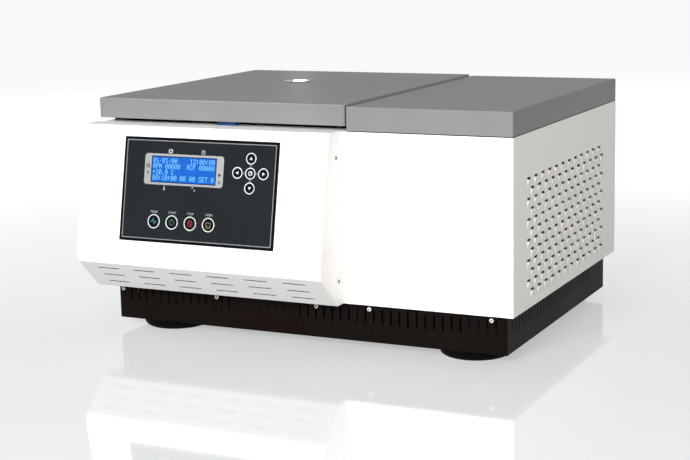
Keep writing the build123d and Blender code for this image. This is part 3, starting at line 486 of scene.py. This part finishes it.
def panel_plane():
    """The front face of the overlay, from its top left corner, with its width and its height up the slope."""
    press = next(joint for joint in frame["joints"] if joint["name"] == "key_up_press")
    out = -Vector(press["axis"]).normalized()
    across = Vector((1, 0, 0))
    up = out.cross(across)
    low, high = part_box("overlay_panel")
    tall = (high.z - low.z - overlay_thickness * out.z) / up.z
    corner = Vector((low.x, low.y + tall * up.y, high.z))
    turn = Matrix((across, up, out)).transposed().to_4x4()
    return Matrix.Translation(corner) @ turn, high.x - low.x, tall


panel, panel_width, panel_height = panel_plane()


def panel_box(node):
    """The middle of a node on the panel, its width and height there, and how far out it reaches."""
    onto_panel = panel.inverted()
    points = [onto_panel @ v.co for v in frame["nodes"][node].data.vertices]
    xs = [p.x for p in points]
    ys = [p.y for p in points]
    middle_x = (min(xs) + max(xs)) / 2
    middle_y = (min(ys) + max(ys)) / 2
    return middle_x, middle_y, max(xs) - min(xs), max(ys) - min(ys), max(p.z for p in points)


def spot(across, down, out=0.0):
    """A plane at millimetres across and down from the panel's top left corner, and metres out of its face."""
    return panel @ Matrix.Translation((across * MM, -down * MM, out))


def panel_border():
    """The dark edge of the film and the pale line inside it."""
    edge_inset = 0.2 * MM
    edge_width = 4.6 * MM
    edge_corner = 0.8 * MM
    line_width = 1.3 * MM
    line_corner = 0.6 * MM

    def border(shape, outset, inset, radius, high):
        outer, inner = [rounded(panel_width - 2 * gap, panel_height - 2 * gap, radius, panel_width / 2,
                                -panel_height / 2) for gap in (outset, inset)]
        band(shape, outer, inner, panel, -ink_low, high)

    edge = mesh_of(lambda shape: border(shape, edge_inset, edge_width, edge_corner, ink / 2))
    piece("panel_edge", edge, film_edge, "cabinet")
    line = mesh_of(lambda shape: border(shape, edge_width, edge_width + line_width, line_corner, ink))
    piece("panel_line", line, line_ink, "cabinet")


def display_bezel():
    """The rounded metal frame round the display, crowned a little, film that fills the four corners round
    it, and painted shade: a dark band round the edge of the glass inside it."""
    x, y, width, height, top = panel_box("lcd_bezel")
    gx, gy, glass_width, glass_height, glass_top = panel_box("lcd_glass")
    corner = 5.4 * MM
    inner_corner = 0.5 * MM
    depth = 1.2 * MM
    crown = 0.5 * MM
    crown_turn = crown * 0.3
    inner_drop = 0.05 * MM
    edge_shade_width = 1.5 * MM
    edge_shade_gap = 0.05 * MM
    corner_depth = 1.0 * MM

    def frame_loop(shape, outset, height_out):
        outline = rounded(width - 2 * outset, height - 2 * outset, corner - outset, x, y)
        return placed(shape, outline, panel, height_out)

    def build_frame(shape):
        loops = [frame_loop(shape, 0, top - depth), frame_loop(shape, 0, top - crown),
                 frame_loop(shape, crown_turn, top - crown_turn), frame_loop(shape, crown, top)]
        hole = rounded(glass_width, glass_height, inner_corner, gx, gy)
        loops += [placed(shape, hole, panel, top - inner_drop), placed(shape, hole, panel, top - depth)]
        skin(shape, loops, closed=True)

    made = smooth(piece("display_bezel", mesh_of(build_frame), silver, "cabinet"))
    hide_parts("lcd_bezel")

    def build_corners(shape):
        outer = rounded(width + 2 * ink, height + 2 * ink, inner_corner, x, y)
        inner = rounded(width - ink_low, height - ink_low, corner, x, y)
        band(shape, outer, inner, panel, -corner_depth, -ink_low)

    piece("display_corners", mesh_of(build_corners), film, "cabinet")

    # A dark band round the edge of the glass: painted shade
    def build_edge_shade(shape):
        outer, inner = [rounded(glass_width - 2 * gap, glass_height - 2 * gap, inner_corner, gx, gy)
                        for gap in (edge_shade_gap, edge_shade_width)]
        band(shape, outer, inner, panel, glass_top - ink_low, glass_top + ink / 2)

    piece("display_edge_shade", mesh_of(build_edge_shade), edge_shade_navy, "cabinet")


def display_signs():
    """Small printed signs above and below the display: a box, a clock, a thermometer and a brush."""
    box_outside = rounded(7.4 * MM, 6.6 * MM, 1.2 * MM)
    box_inside = rounded(3.4 * MM, 2.6 * MM, 0.6 * MM)
    clock_rim = circle(3.6 * MM)
    clock_face = circle(2.4 * MM)
    minute_hand = bar(0, -0.2 * MM, 0, 1.8 * MM, 0.8 * MM)
    hour_hand = bar(-0.3 * MM, 0, 1.5 * MM, 0, 0.8 * MM)
    tube = bar(0, -0.5 * MM, 0, 3.6 * MM, 1.5 * MM)
    bulb = circle(1.7 * MM, 0, -2.2 * MM, 20)
    stroke_shift = 1.9 * MM
    stroke_x = 1.4 * MM
    stroke_y = 1.2 * MM
    stroke_width = 1.3 * MM
    box = spot(86.7, 21.4)
    clock = spot(146.9, 21.2)
    thermometer = spot(78.4, 79.8)
    brush = spot(132.5, 79.3)

    def build(shape):
        printed_band(shape, box_outside, box_inside, box)
        printed_band(shape, clock_rim, clock_face, clock)
        printed(shape, minute_hand, clock)
        printed_over(shape, hour_hand, clock)
        printed(shape, tube, thermometer)
        printed_over(shape, bulb, thermometer)
        for x, y in ((-stroke_shift, stroke_shift), (stroke_shift, -stroke_shift)):
            stroke = bar(x - stroke_x, y - stroke_y, x + stroke_x, y + stroke_y, stroke_width)
            printed(shape, stroke, brush)

    piece("display_signs", mesh_of(build), word_ink, "cabinet")


def bezel_signs():
    """Small dark signs on the frame beside the display: a ring, a drop, a dot and a triangle."""
    top = panel_box("lcd_bezel")[4]
    ring_outside = circle(3.3 * MM, count=32)
    ring_inside = circle(1.7 * MM, count=32)
    drop_tip = (0.0, 3.2 * MM)
    drop_radius = 1.4 * MM
    drop_middle = -1.2 * MM
    drop_start = 20
    drop_sweep = -220
    drop_steps = 14
    drop_angles = [radians(drop_start + drop_sweep * n / drop_steps) for n in range(drop_steps + 1)]
    drop = [drop_tip]
    drop += [(drop_radius * cos(t), drop_middle + drop_radius * sin(t)) for t in drop_angles]
    dot = circle(2.4 * MM, count=28)
    triangle_middle = -0.6 * MM
    triangle_outside, triangle_inside = [
        [(reach * sin(t), reach * cos(t) + triangle_middle) for t in (0, 2 * pi / 3, 4 * pi / 3)]
        for reach in (3.4 * MM, 1.7 * MM)]
    ring_place = spot(46.0, 45.5, top)
    drop_place = spot(46.4, 56.1, top)
    dot_place = spot(177.8, 55.2, top)
    triangle_place = spot(178.2, 66.0, top)

    def build(shape):
        printed_band(shape, ring_outside, ring_inside, ring_place)
        printed(shape, drop, drop_place)
        printed(shape, dot, dot_place)
        printed_band(shape, triangle_outside, triangle_inside, triangle_place)

    piece("bezel_signs", mesh_of(build), sign_ink, "cabinet")


# The display's characters, each as seven rows of five dots
GLYPHS = {
    "0": "01110 10001 10011 10101 11001 10001 01110",
    "1": "00100 01100 00100 00100 00100 00100 01110",
    "2": "01110 10001 00001 00010 00100 01000 11111",
    "8": "01110 10001 10001 01110 10001 10001 01110",
    ":": "00000 01100 01100 00000 01100 01100 00000",
    "/": "00000 00001 00010 00100 01000 10000 00000",
    "+": "00000 00100 00100 11111 00100 00100 00000",
    ".": "00000 00000 00000 00000 00000 01100 01100",
    "R": "11110 10001 10001 11110 10100 10010 10001",
    "P": "11110 10001 10001 11110 10000 10000 10000",
    "M": "10001 11011 10101 10101 10001 10001 10001",
    "C": "01110 10001 10000 10000 10000 10001 01110",
    "F": "11111 10000 10000 11110 10000 10000 10000",
    "S": "01111 10000 10000 01110 00001 00001 11110",
    "E": "11111 10000 10000 11110 10000 10000 11111",
    "T": "11111 00100 00100 00100 00100 00100 00100",
}
display_lines = ("01/01/00    12:00:00", "RPM 00000  RCF 00000", "+20.0 C", "00:10:00 08 00 SET 0")


def display_text():
    """Four lines of twenty characters."""
    x, y, width, height, top = panel_box("lcd_glass")
    columns = 20
    dots_across = 6  # with the gap between two characters
    dots_down = 8.2
    margin_x = 3.2 * MM
    margin_y = 3.0 * MM
    pitch_x = (width - 2 * margin_x) / columns
    pitch_y = (height - 2 * margin_y) / len(display_lines)
    dot_x = pitch_x / dots_across
    dot_y = pitch_y / dots_down
    first_dot_x = 0.5
    first_dot_y = 0.7
    fill = 0.9
    half_x = dot_x * fill / 2
    half_y = dot_y * fill / 2

    def build_sign(shape, sign, left, high):
        for down, dots in enumerate(GLYPHS[sign].split()):
            for across, dot in enumerate(dots):
                if dot == "1":
                    cx = left + (across + first_dot_x) * dot_x
                    cy = high - (down + first_dot_y) * dot_y
                    outline = ((cx - half_x, cy - half_y), (cx + half_x, cy - half_y),
                               (cx + half_x, cy + half_y), (cx - half_x, cy + half_y))
                    prism(shape, outline, panel, top - ink_low, top + ink)

    def build(shape):
        for row, line in enumerate(display_lines):
            for column, sign in enumerate(line):
                if sign in GLYPHS:
                    left = x - width / 2 + margin_x + column * pitch_x
                    high = y + height / 2 - margin_y - row * pitch_y
                    build_sign(shape, sign, left, high)

    piece("display_text", mesh_of(build), glyph, "cabinet")


# Signs on the keys, each drawn to a size

def arrow_sign(shape, place, size):
    foot = size * 0.6
    half = size * 0.85
    tip = size * 0.95
    printed(shape, ((-half, -foot), (half, -foot), (0, tip)), place)


def enter_sign(shape, place, size):
    printed_band(shape, circle(size * 0.95), circle(size * 0.6), place)
    printed_over(shape, bar(0, 0, size * 0.9, size * 0.7, size * 0.35), place)


def pulse_sign(shape, place, size):
    """A wave of five strokes. Every second one is a little thicker, so that the tops that meet are apart."""
    wave = ((-1.25, 0), (-0.55, 0), (-0.25, 0.95), (0.2, -0.95), (0.5, 0), (1.25, 0))
    stroke = size * 0.32
    thicker = 0.2
    for n, ((x0, y0), (x1, y1)) in enumerate(zip(wave, wave[1:])):
        outline = bar(x0 * size, y0 * size, x1 * size, y1 * size, stroke)
        prism(shape, outline, place, -ink_low, ink * (1 + thicker * (n % 2)))


def start_sign(shape, place, size):
    printed_band(shape, circle(size), circle(size * 0.68), place)
    printed_over(shape, bar(0, size * 0.1, 0, size * 1.15, size * 0.3), place)


def stop_sign(shape, place, size):
    reach = size * 0.6
    printed_band(shape, circle(size), circle(size * 0.68), place)
    printed_over(shape, bar(-reach, reach, reach, -reach, size * 0.3), place)


def open_sign(shape, place, size):
    outside = rounded(size * 1.9, size * 1.5, size * 0.25)
    inside = rounded(size * 1.3, size * 0.9, size * 0.12)
    foot = size * 1.1
    half = size * 0.9
    printed_band(shape, outside, inside, place)
    printed(shape, bar(-half, -foot, half, -foot, size * 0.28), place)


arrow_share = 0.34
sign_share = 0.42

# Each key's sign and ink, the sign's size as a share of the key's radius, and its turn in degrees
key_signs = {
    "up": (arrow_sign, pale_ink, arrow_share, 0),
    "left": (arrow_sign, pale_ink, arrow_share, 90),
    "enter": (enter_sign, pale_ink, sign_share, 0),
    "right": (arrow_sign, pale_ink, arrow_share, -90),
    "down": (arrow_sign, pale_ink, arrow_share, 180),
    "pulse": (pulse_sign, teal_ink, sign_share, 0),
    "start": (start_sign, green_ink, sign_share, 0),
    "stop": (stop_sign, red_ink, sign_share, 0),
    "open": (open_sign, amber_ink, sign_share, 0),
}


def key_marks():
    """White rings and coloured signs, each on its own key."""
    ring_width = 1.6 * MM
    ring_inset = 0.15 * MM
    ring_count = 64
    for name in key_names:
        build_sign, sign_color, share, turn = key_signs[name]
        body = f"key_{name}"
        x, y, width, _, top = panel_box(body)
        radius = width / 2
        place = panel @ Matrix.Translation((x, y, top))
        turned = place @ Matrix.Rotation(radians(turn), 4, "Z")
        outer = circle(radius - ring_inset, count=ring_count)
        inner = circle(radius - ring_width, count=ring_count)
        ring = mesh_of(lambda shape: printed_band(shape, outer, inner, place))
        piece(f"{body}_ring", ring, ring_ink, body)
        sign = mesh_of(lambda shape: build_sign(shape, turned, radius * share))
        piece(f"{body}_sign", sign, sign_color, body)


def key_links():
    """Pairs of short strokes between the middle key and each arrow key."""
    length = 2.7 * MM
    width = 1.1 * MM
    gap = 2.2 * MM
    in_line = 1 * MM
    ex, ey = panel_box("key_enter")[:2]

    def build(shape):
        for name in ("up", "left", "right", "down"):
            kx, ky = panel_box(f"key_{name}")[:2]
            x = (ex + kx) / 2
            y = (ey + ky) / 2
            half = length / 2
            for shift in (-gap / 2, gap / 2):
                if abs(kx - ex) < in_line:
                    outline = bar(x + shift, y - half, x + shift, y + half, width)
                else:
                    outline = bar(x - half, y + shift, x + half, y + shift, width)
                printed(shape, outline, panel)

    piece("key_links", mesh_of(build), grey_ink, "cabinet")


def key_words():
    """Words above the function keys."""
    size = 5.0 * MM
    rise = 15.3 * MM
    for name in ("pulse", "start", "stop", "open"):
        x, y = panel_box(f"key_{name}")[:2]
        place = panel @ Matrix.Translation((x, y + rise, -ink_low))
        lettering(f"word_{name}", name.upper(), size, place, word_ink, "cabinet")


def dress_panel():
    panel_border()
    display_bezel()
    display_text()
    display_signs()
    bezel_signs()
    key_marks()
    key_links()
    key_words()


# Screws

def solids_of(name):
    """The lowest and highest corner of each separate solid of a node."""
    mesh = frame["nodes"][name].data
    same_point = 0.01 * MM
    group = {}

    def root(key):
        while group[key] != key:
            key = group[key]
        return key

    keys = [tuple(round(c / same_point) for c in v.co) for v in mesh.vertices]
    for key in keys:
        group.setdefault(key, key)
    for face in mesh.polygons:
        first = root(keys[face.vertices[0]])
        for vertex in face.vertices[1:]:
            group[root(keys[vertex])] = first
    solids = {}
    for key, vertex in zip(keys, mesh.vertices):
        solids.setdefault(root(key), []).append(vertex.co)
    boxes = []
    for points in solids.values():
        low = Vector([min(p[a] for p in points) for a in range(3)])
        high = Vector([max(p[a] for p in points) for a in range(3)])
        boxes.append((low, high))
    return sorted(boxes, key=lambda box: tuple(box[0]))


def screw_heads(name, places, radius, tall, body, material):
    """Domed screw heads with painted shade in their cross recesses. Each place has its origin at the seat and
    its Z out of the head."""
    rings = 9
    count = 40
    slot_half = radius * 0.17
    slot_reach = radius * 0.62
    sunk = tall * 0.45
    edge = tall * 0.5
    recess_half = slot_half * 1.1
    recess_low = tall * 0.1

    def dome(x, y):
        r = Vector((x, y)).length
        z = edge + (tall - edge) * (1 - (r / radius) ** 2)
        in_slot = min(abs(x), abs(y)) < slot_half and r < slot_reach
        return z - sunk if in_slot else z

    def build(shape):
        for place in places:
            rows = []
            for ring in range(1, rings + 1):
                outline = circle(radius * ring / rings, count=count)
                rows.append([shape.verts.new(place @ Vector((x, y, dome(x, y)))) for x, y in outline])
            rows.append(placed(shape, circle(radius, count=count), place, 0))
            middle = shape.verts.new(place @ Vector((0, 0, tall - sunk)))
            for n in range(count):
                shape.faces.new((middle, rows[0][n], rows[0][(n + 1) % count]))
            skin(shape, rows)
            shape.faces.new(rows[-1][::-1])

    made = piece(name, mesh_of(build), material, body)
    # Faces inside each cross get painted shade
    made.data.materials.append(recess_shade)
    onto_heads = [place.inverted() for place in places]
    for face in made.data.polygons:
        point = min((onto @ face.center for onto in onto_heads), key=lambda p: p.length)
        in_cross = min(abs(point.x), abs(point.y)) < recess_half and point.xy.length < slot_reach
        if in_cross and point.z > recess_low:
            face.material_index = 1
    return smooth(made, angle=40)


def case_screw_heads():
    """Lit and shaded copies of one screw finish: pale on the base tray's front, a painted highlight, and
    darker on the console's side.
    """
    turn_step = 0.6
    places = []
    for n, (low, high) in enumerate(solids_of("case_screws")):
        middle = (low + high) / 2
        size = high - low
        if size.y < size.x:
            places.append(facing((middle.x, high.y, middle.z), (0, -1, 0), turn_step * n))
            radius = size.x / 2
            tall = size.y
        else:
            places.append(facing((low.x, middle.y, middle.z), (1, 0, 0), turn_step * n))
    made = screw_heads("screw_heads", places, radius, tall, "cabinet", highlit_screw_steel)
    made.data.materials.append(shaded_screw_zinc)
    base_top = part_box("base_pan")[1].z
    for face in made.data.polygons:
        if face.center.z > base_top and face.material_index == 0:
            face.material_index = 2
    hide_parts("case_screws")


# Smaller screws, of the rear panel and the hinges
small_radius = 3.2 * MM
small_height = 1.5 * MM


def rear_screw_heads():
    """The screws along the rear panel's lower and upper edges."""
    low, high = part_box("rear_panel")
    edge = 11 * MM
    turn_step = 0.5
    lower_shares = (-0.95, -0.48, 0.0, 0.48, 0.95)
    upper_shares = (-0.95, -0.36, 0.36, 0.95)
    places = []
    for z, shares in ((low.z + edge, lower_shares), (high.z - edge, upper_shares)):
        for n, share in enumerate(shares):
            x = (low.x + high.x) / 2 + share * (high.x - low.x) / 2
            places.append(facing((x, high.y, z), (0, 1, 0), turn_step * n + z))
    screw_heads("rear_screws", places, small_radius, small_height, "cabinet", zinc)


def hinge_screw_heads():
    """Three screws in each hinge leaf, near its lower end on the cabinet and its upper end on the lid."""
    leaf_thickness = 2.0 * MM
    edge = 9 * MM
    count = 3
    first_share = 0.18
    share_step = 0.32
    turn_step = 0.9
    for node, body in (("case_hinge_leaves", "cabinet"), ("lid_hinge_leaves", "lid")):
        places = []
        for low, high in solids_of(node):
            z = low.z + edge if body == "cabinet" else high.z - edge
            for n in range(count):
                x = low.x + (high.x - low.x) * (first_share + share_step * n)
                places.append(facing((x, low.y + leaf_thickness, z), (0, 1, 0), turn_step * n + x))
        screw_heads(f"{node}_screws", places, small_radius, small_height, body, highlit_screw_steel)


# Small fittings

def rotor_numbers():
    """Plain numbers from one to six on the rotor's rim, one beside each tube cavity."""
    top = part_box("rotor_body")[1].z - ink_low
    reach = 84.5 * MM
    size = 11 * MM
    count = 6
    for n in range(count):
        angle = 2 * pi * n / count
        x = rotor_axis.x + reach * cos(angle)
        y = rotor_axis.y + reach * sin(angle)
        place = Matrix.Translation((x, y, top)) @ Matrix.Rotation(angle - pi / 2, 4, "Z")
        lettering(f"rotor_number_{n + 1}", str(n + 1), size, place, pale_ink, "rotor")


def socket_blades():
    """The three blades in the mains socket, standing on its floor."""
    inlet = middle_of("mains_inlet")
    drop = 15 * MM
    depth = 14 * MM
    root = 1 * MM
    length = 11 * MM
    thickness = 2.0 * MM
    width = 4.4 * MM
    edge = 0.5 * MM
    side = 7 * MM
    side_rise = -1.5 * MM
    middle_rise = 2.5 * MM
    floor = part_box("mains_inlet")[1].y - depth - root
    blade = rounded(thickness, width, edge, steps=3)

    def build(shape):
        for across, rise in ((-side, side_rise), (0, middle_rise), (side, side_rise)):
            place = facing((inlet.x + across, floor, inlet.z - drop + rise), (0, 1, 0))
            prism(shape, blade, place, 0, length)

    piece("socket_blades", mesh_of(build), bright, "cabinet")


def rocker_marks():
    """The ring and the stroke printed on the two faces of the rocker."""
    inlet = middle_of("mains_inlet")
    pivot_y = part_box("mains_inlet")[1].y - 2 * MM
    pivot_z = inlet.z + 17 * MM
    ring_out = 4.52 * MM
    ring_rise = 4.0 * MM
    ring_slope = -0.33
    ring_radius = 1.8 * MM
    ring_width = 0.6 * MM
    stroke_out = 2.75 * MM
    stroke_rise = -4.5 * MM
    stroke_slope = -0.1
    stroke_half = 1.8 * MM
    stroke_width = 0.6 * MM
    sunk = ink_low * 2

    def on_rocker(out, rise, slope):
        """A plane on a face of the rocker, out and up from its pivot, that leans by the slope."""
        side = Vector((1, 0, 0))
        away = Vector((0, 1, slope)).normalized()
        turn = Matrix((side, away.cross(side), away)).transposed().to_4x4()
        return Matrix.Translation((inlet.x, pivot_y + out, pivot_z + rise)) @ turn

    def build(shape):
        ring = on_rocker(ring_out, ring_rise, ring_slope)
        band(shape, circle(ring_radius), circle(ring_radius - ring_width), ring, -sunk, ink)
        stroke = on_rocker(stroke_out, stroke_rise, stroke_slope)
        prism(shape, bar(0, -stroke_half, 0, stroke_half, stroke_width), stroke, -sunk, ink)

    piece("rocker_marks", mesh_of(build), pale_ink, "power_rocker")


def rear_slot_shade():
    """A dark sheet behind the slots of the rear panel, with wires woven up and across: painted shade, so the
    slots read dark.
    """
    left = 146 * MM
    right = 296 * MM
    front = 297.2 * MM
    back = 298.7 * MM
    bottom = 180 * MM
    top = 278 * MM
    pitch = 4.0 * MM
    wire = 1.6 * MM
    deep = back - front
    sheet_back = deep * 0.4
    upright = (deep * 0.3, deep * 0.8)
    cross = (deep * 0.35, deep)
    place = facing((0, front, 0), (0, 1, 0))
    onto = place.inverted()
    corners = [onto @ Vector((x, front, z)) for x, z in ((left, bottom), (right, top))]
    x0, x1 = sorted(corner.x for corner in corners)
    y0, y1 = sorted(corner.y for corner in corners)

    def build(shape):
        prism(shape, ((x0, y0), (x1, y0), (x1, y1), (x0, y1)), place, 0, sheet_back)
        for n in range(int((x1 - x0) / pitch)):
            x = x0 + (n + 0.5) * pitch
            prism(shape, bar(x, y0, x, y1, wire), place, *upright)
        for n in range(int((y1 - y0) / pitch)):
            y = y0 + (n + 0.5) * pitch
            prism(shape, bar(x0, y, x1, y, wire), place, *cross)

    # The sheet and its wires are in the painted shade finish
    piece("rear_slot_shade", mesh_of(build), inner_shade, "cabinet")


# Studio

def glow(material, strength, top_strength=None):
    """Light of a backdrop's own, which may change from its foot up to its top."""
    fade_start = 0.45
    fade_end = 1.2
    add, link = node_tools(material)
    shader = shader_of(material)
    set_sockets(shader, {"Emission Color": (0.985, 0.993, 1.0, 1), "Emission Strength": strength})
    if top_strength is not None:
        height = add("SeparateXYZ")
        link(add("NewGeometry").outputs["Position"], height.inputs["Vector"])
        fade = add("MapRange")
        set_sockets(fade, {"From Min": fade_start, "From Max": fade_end, "To Min": strength,
                           "To Max": top_strength})
        link(height.outputs["Z"], fade.inputs["Value"])
        link(fade.outputs["Result"], shader.inputs["Emission Strength"])


def backdrop():
    """A pale floor that curves up into a wall all round. It shows in gloss, but lights no colour."""
    ground = finish("floor", (0.3, 0.3, 0.3), 0.06, patch=0.01, patch_scale=2, rough_patch=0.01, specular=1.0)
    glow(ground, 0.46)
    wall = finish("wall", (0.12, 0.12, 0.12), 0.6, patch=0.01, patch_scale=2)
    glow(wall, 0.86, 0.35)
    middle = 0.4
    halfway = 1.5
    flat = 4.2
    seam = 0.04
    bend = 0.8
    tall = 4.0
    steps = 12
    count = 96
    ground_top = 0.01 * MM
    bend_angles = [n / steps * pi / 2 for n in range(1, steps + 1)]
    profile = [(middle, 0.0), (halfway, 0.0), (flat - seam, 0.0), (flat, 0.0)]
    profile += [(flat + bend * sin(t), bend * (1 - cos(t))) for t in bend_angles]
    profile.append((flat + bend, tall))

    def build(shape):
        rings = [placed(shape, circle(radius, count=count), Matrix(), height) for radius, height in profile]
        shape.faces.new(rings[0])
        skin(shape, rings)

    mesh = mesh_of(build)
    mesh.flip_normals()
    floor = bpy.data.objects.new("floor", mesh)
    bpy.context.scene.collection.objects.link(floor)
    mesh.materials.append(ground)
    mesh.materials.append(wall)
    for face in mesh.polygons:
        face.use_smooth = True
        face.material_index = 1 if face.center.z > ground_top else 0
    floor.visible_diffuse = False


def room_light():
    """Even light from all sides, and a plain view of it, with no curve of a film."""
    world = bpy.data.worlds.new("studio")
    world.use_nodes = True
    set_sockets(world.node_tree.nodes["Background"], {"Color": (1.0, 0.97, 0.93, 1), "Strength": 0.22})
    bpy.context.scene.world = world
    bpy.context.scene.view_settings.view_transform = "Standard"


def softbox(name, place, target, size, power, color, shows_in, spread=180):
    """A rectangular lamp, in watts, that shows in colour or in gloss."""
    data = bpy.data.lights.new(name, "AREA")
    data.shape = "RECTANGLE"
    data.size = size[0]
    data.size_y = size[1]
    data.energy = power
    data.spread = radians(spread)
    data.color = color
    light = bpy.data.objects.new(name, data)
    light.location = place
    light.rotation_euler = (Vector(target) - Vector(place)).to_track_quat("-Z", "Y").to_euler()
    light.visible_camera = False
    light.visible_diffuse = shows_in == "colour"
    light.visible_glossy = shows_in == "gloss"
    bpy.context.scene.collection.objects.link(light)


def lamps():
    """Lamps that light the object's colour from four sides, and lamps that show only in its gloss."""
    softbox("key_light", place=(0.1, -3.4, 1.5), target=(0, 0, 0.2), size=(1.2, 0.9), power=176,
            color=(0.9, 0.965, 1.0), shows_in="colour")
    softbox("glint_light", place=(-1.8, -1.25, 3.2), target=(0, -0.2, 0.39), size=(1.2, 0.8), power=260,
            color=(0.97, 0.99, 1.0), shows_in="gloss")
    softbox("window_light", place=(-1.64, 2.94, 0.68), target=(-0.166, 0.106, 0.391), size=(0.05, 0.12),
            power=0.0003, color=(1, 1, 1), shows_in="gloss", spread=12)
    softbox("ceiling_light", place=(0, 0, 4.2), target=(0, 0, 0), size=(4, 4), power=55, color=(1, 1, 1),
            shows_in="gloss")
    softbox("side_light", place=(2.3, -2.4, 0.7), target=(0.3, 0, 0.2), size=(0.9, 0.9), power=50,
            color=(1.0, 0.96, 0.92), shows_in="colour")
    softbox("left_light", place=(-3.2, 0.3, 1.0), target=(-0.3, 0, 0.2), size=(1.2, 1.2), power=45,
            color=(1.0, 0.97, 0.94), shows_in="colour")
    softbox("rear_light", place=(0.6, 3.4, 0.9), target=(0, 0.3, 0.2), size=(1.6, 1.0), power=75,
            color=(1.0, 0.985, 0.97), shows_in="colour")


make_camera()
dress_cad()
dress_panel()
case_screw_heads()
rear_screw_heads()
hinge_screw_heads()
rear_slot_shade()
rotor_numbers()
socket_blades()
rocker_marks()
backdrop()
room_light()
lamps()
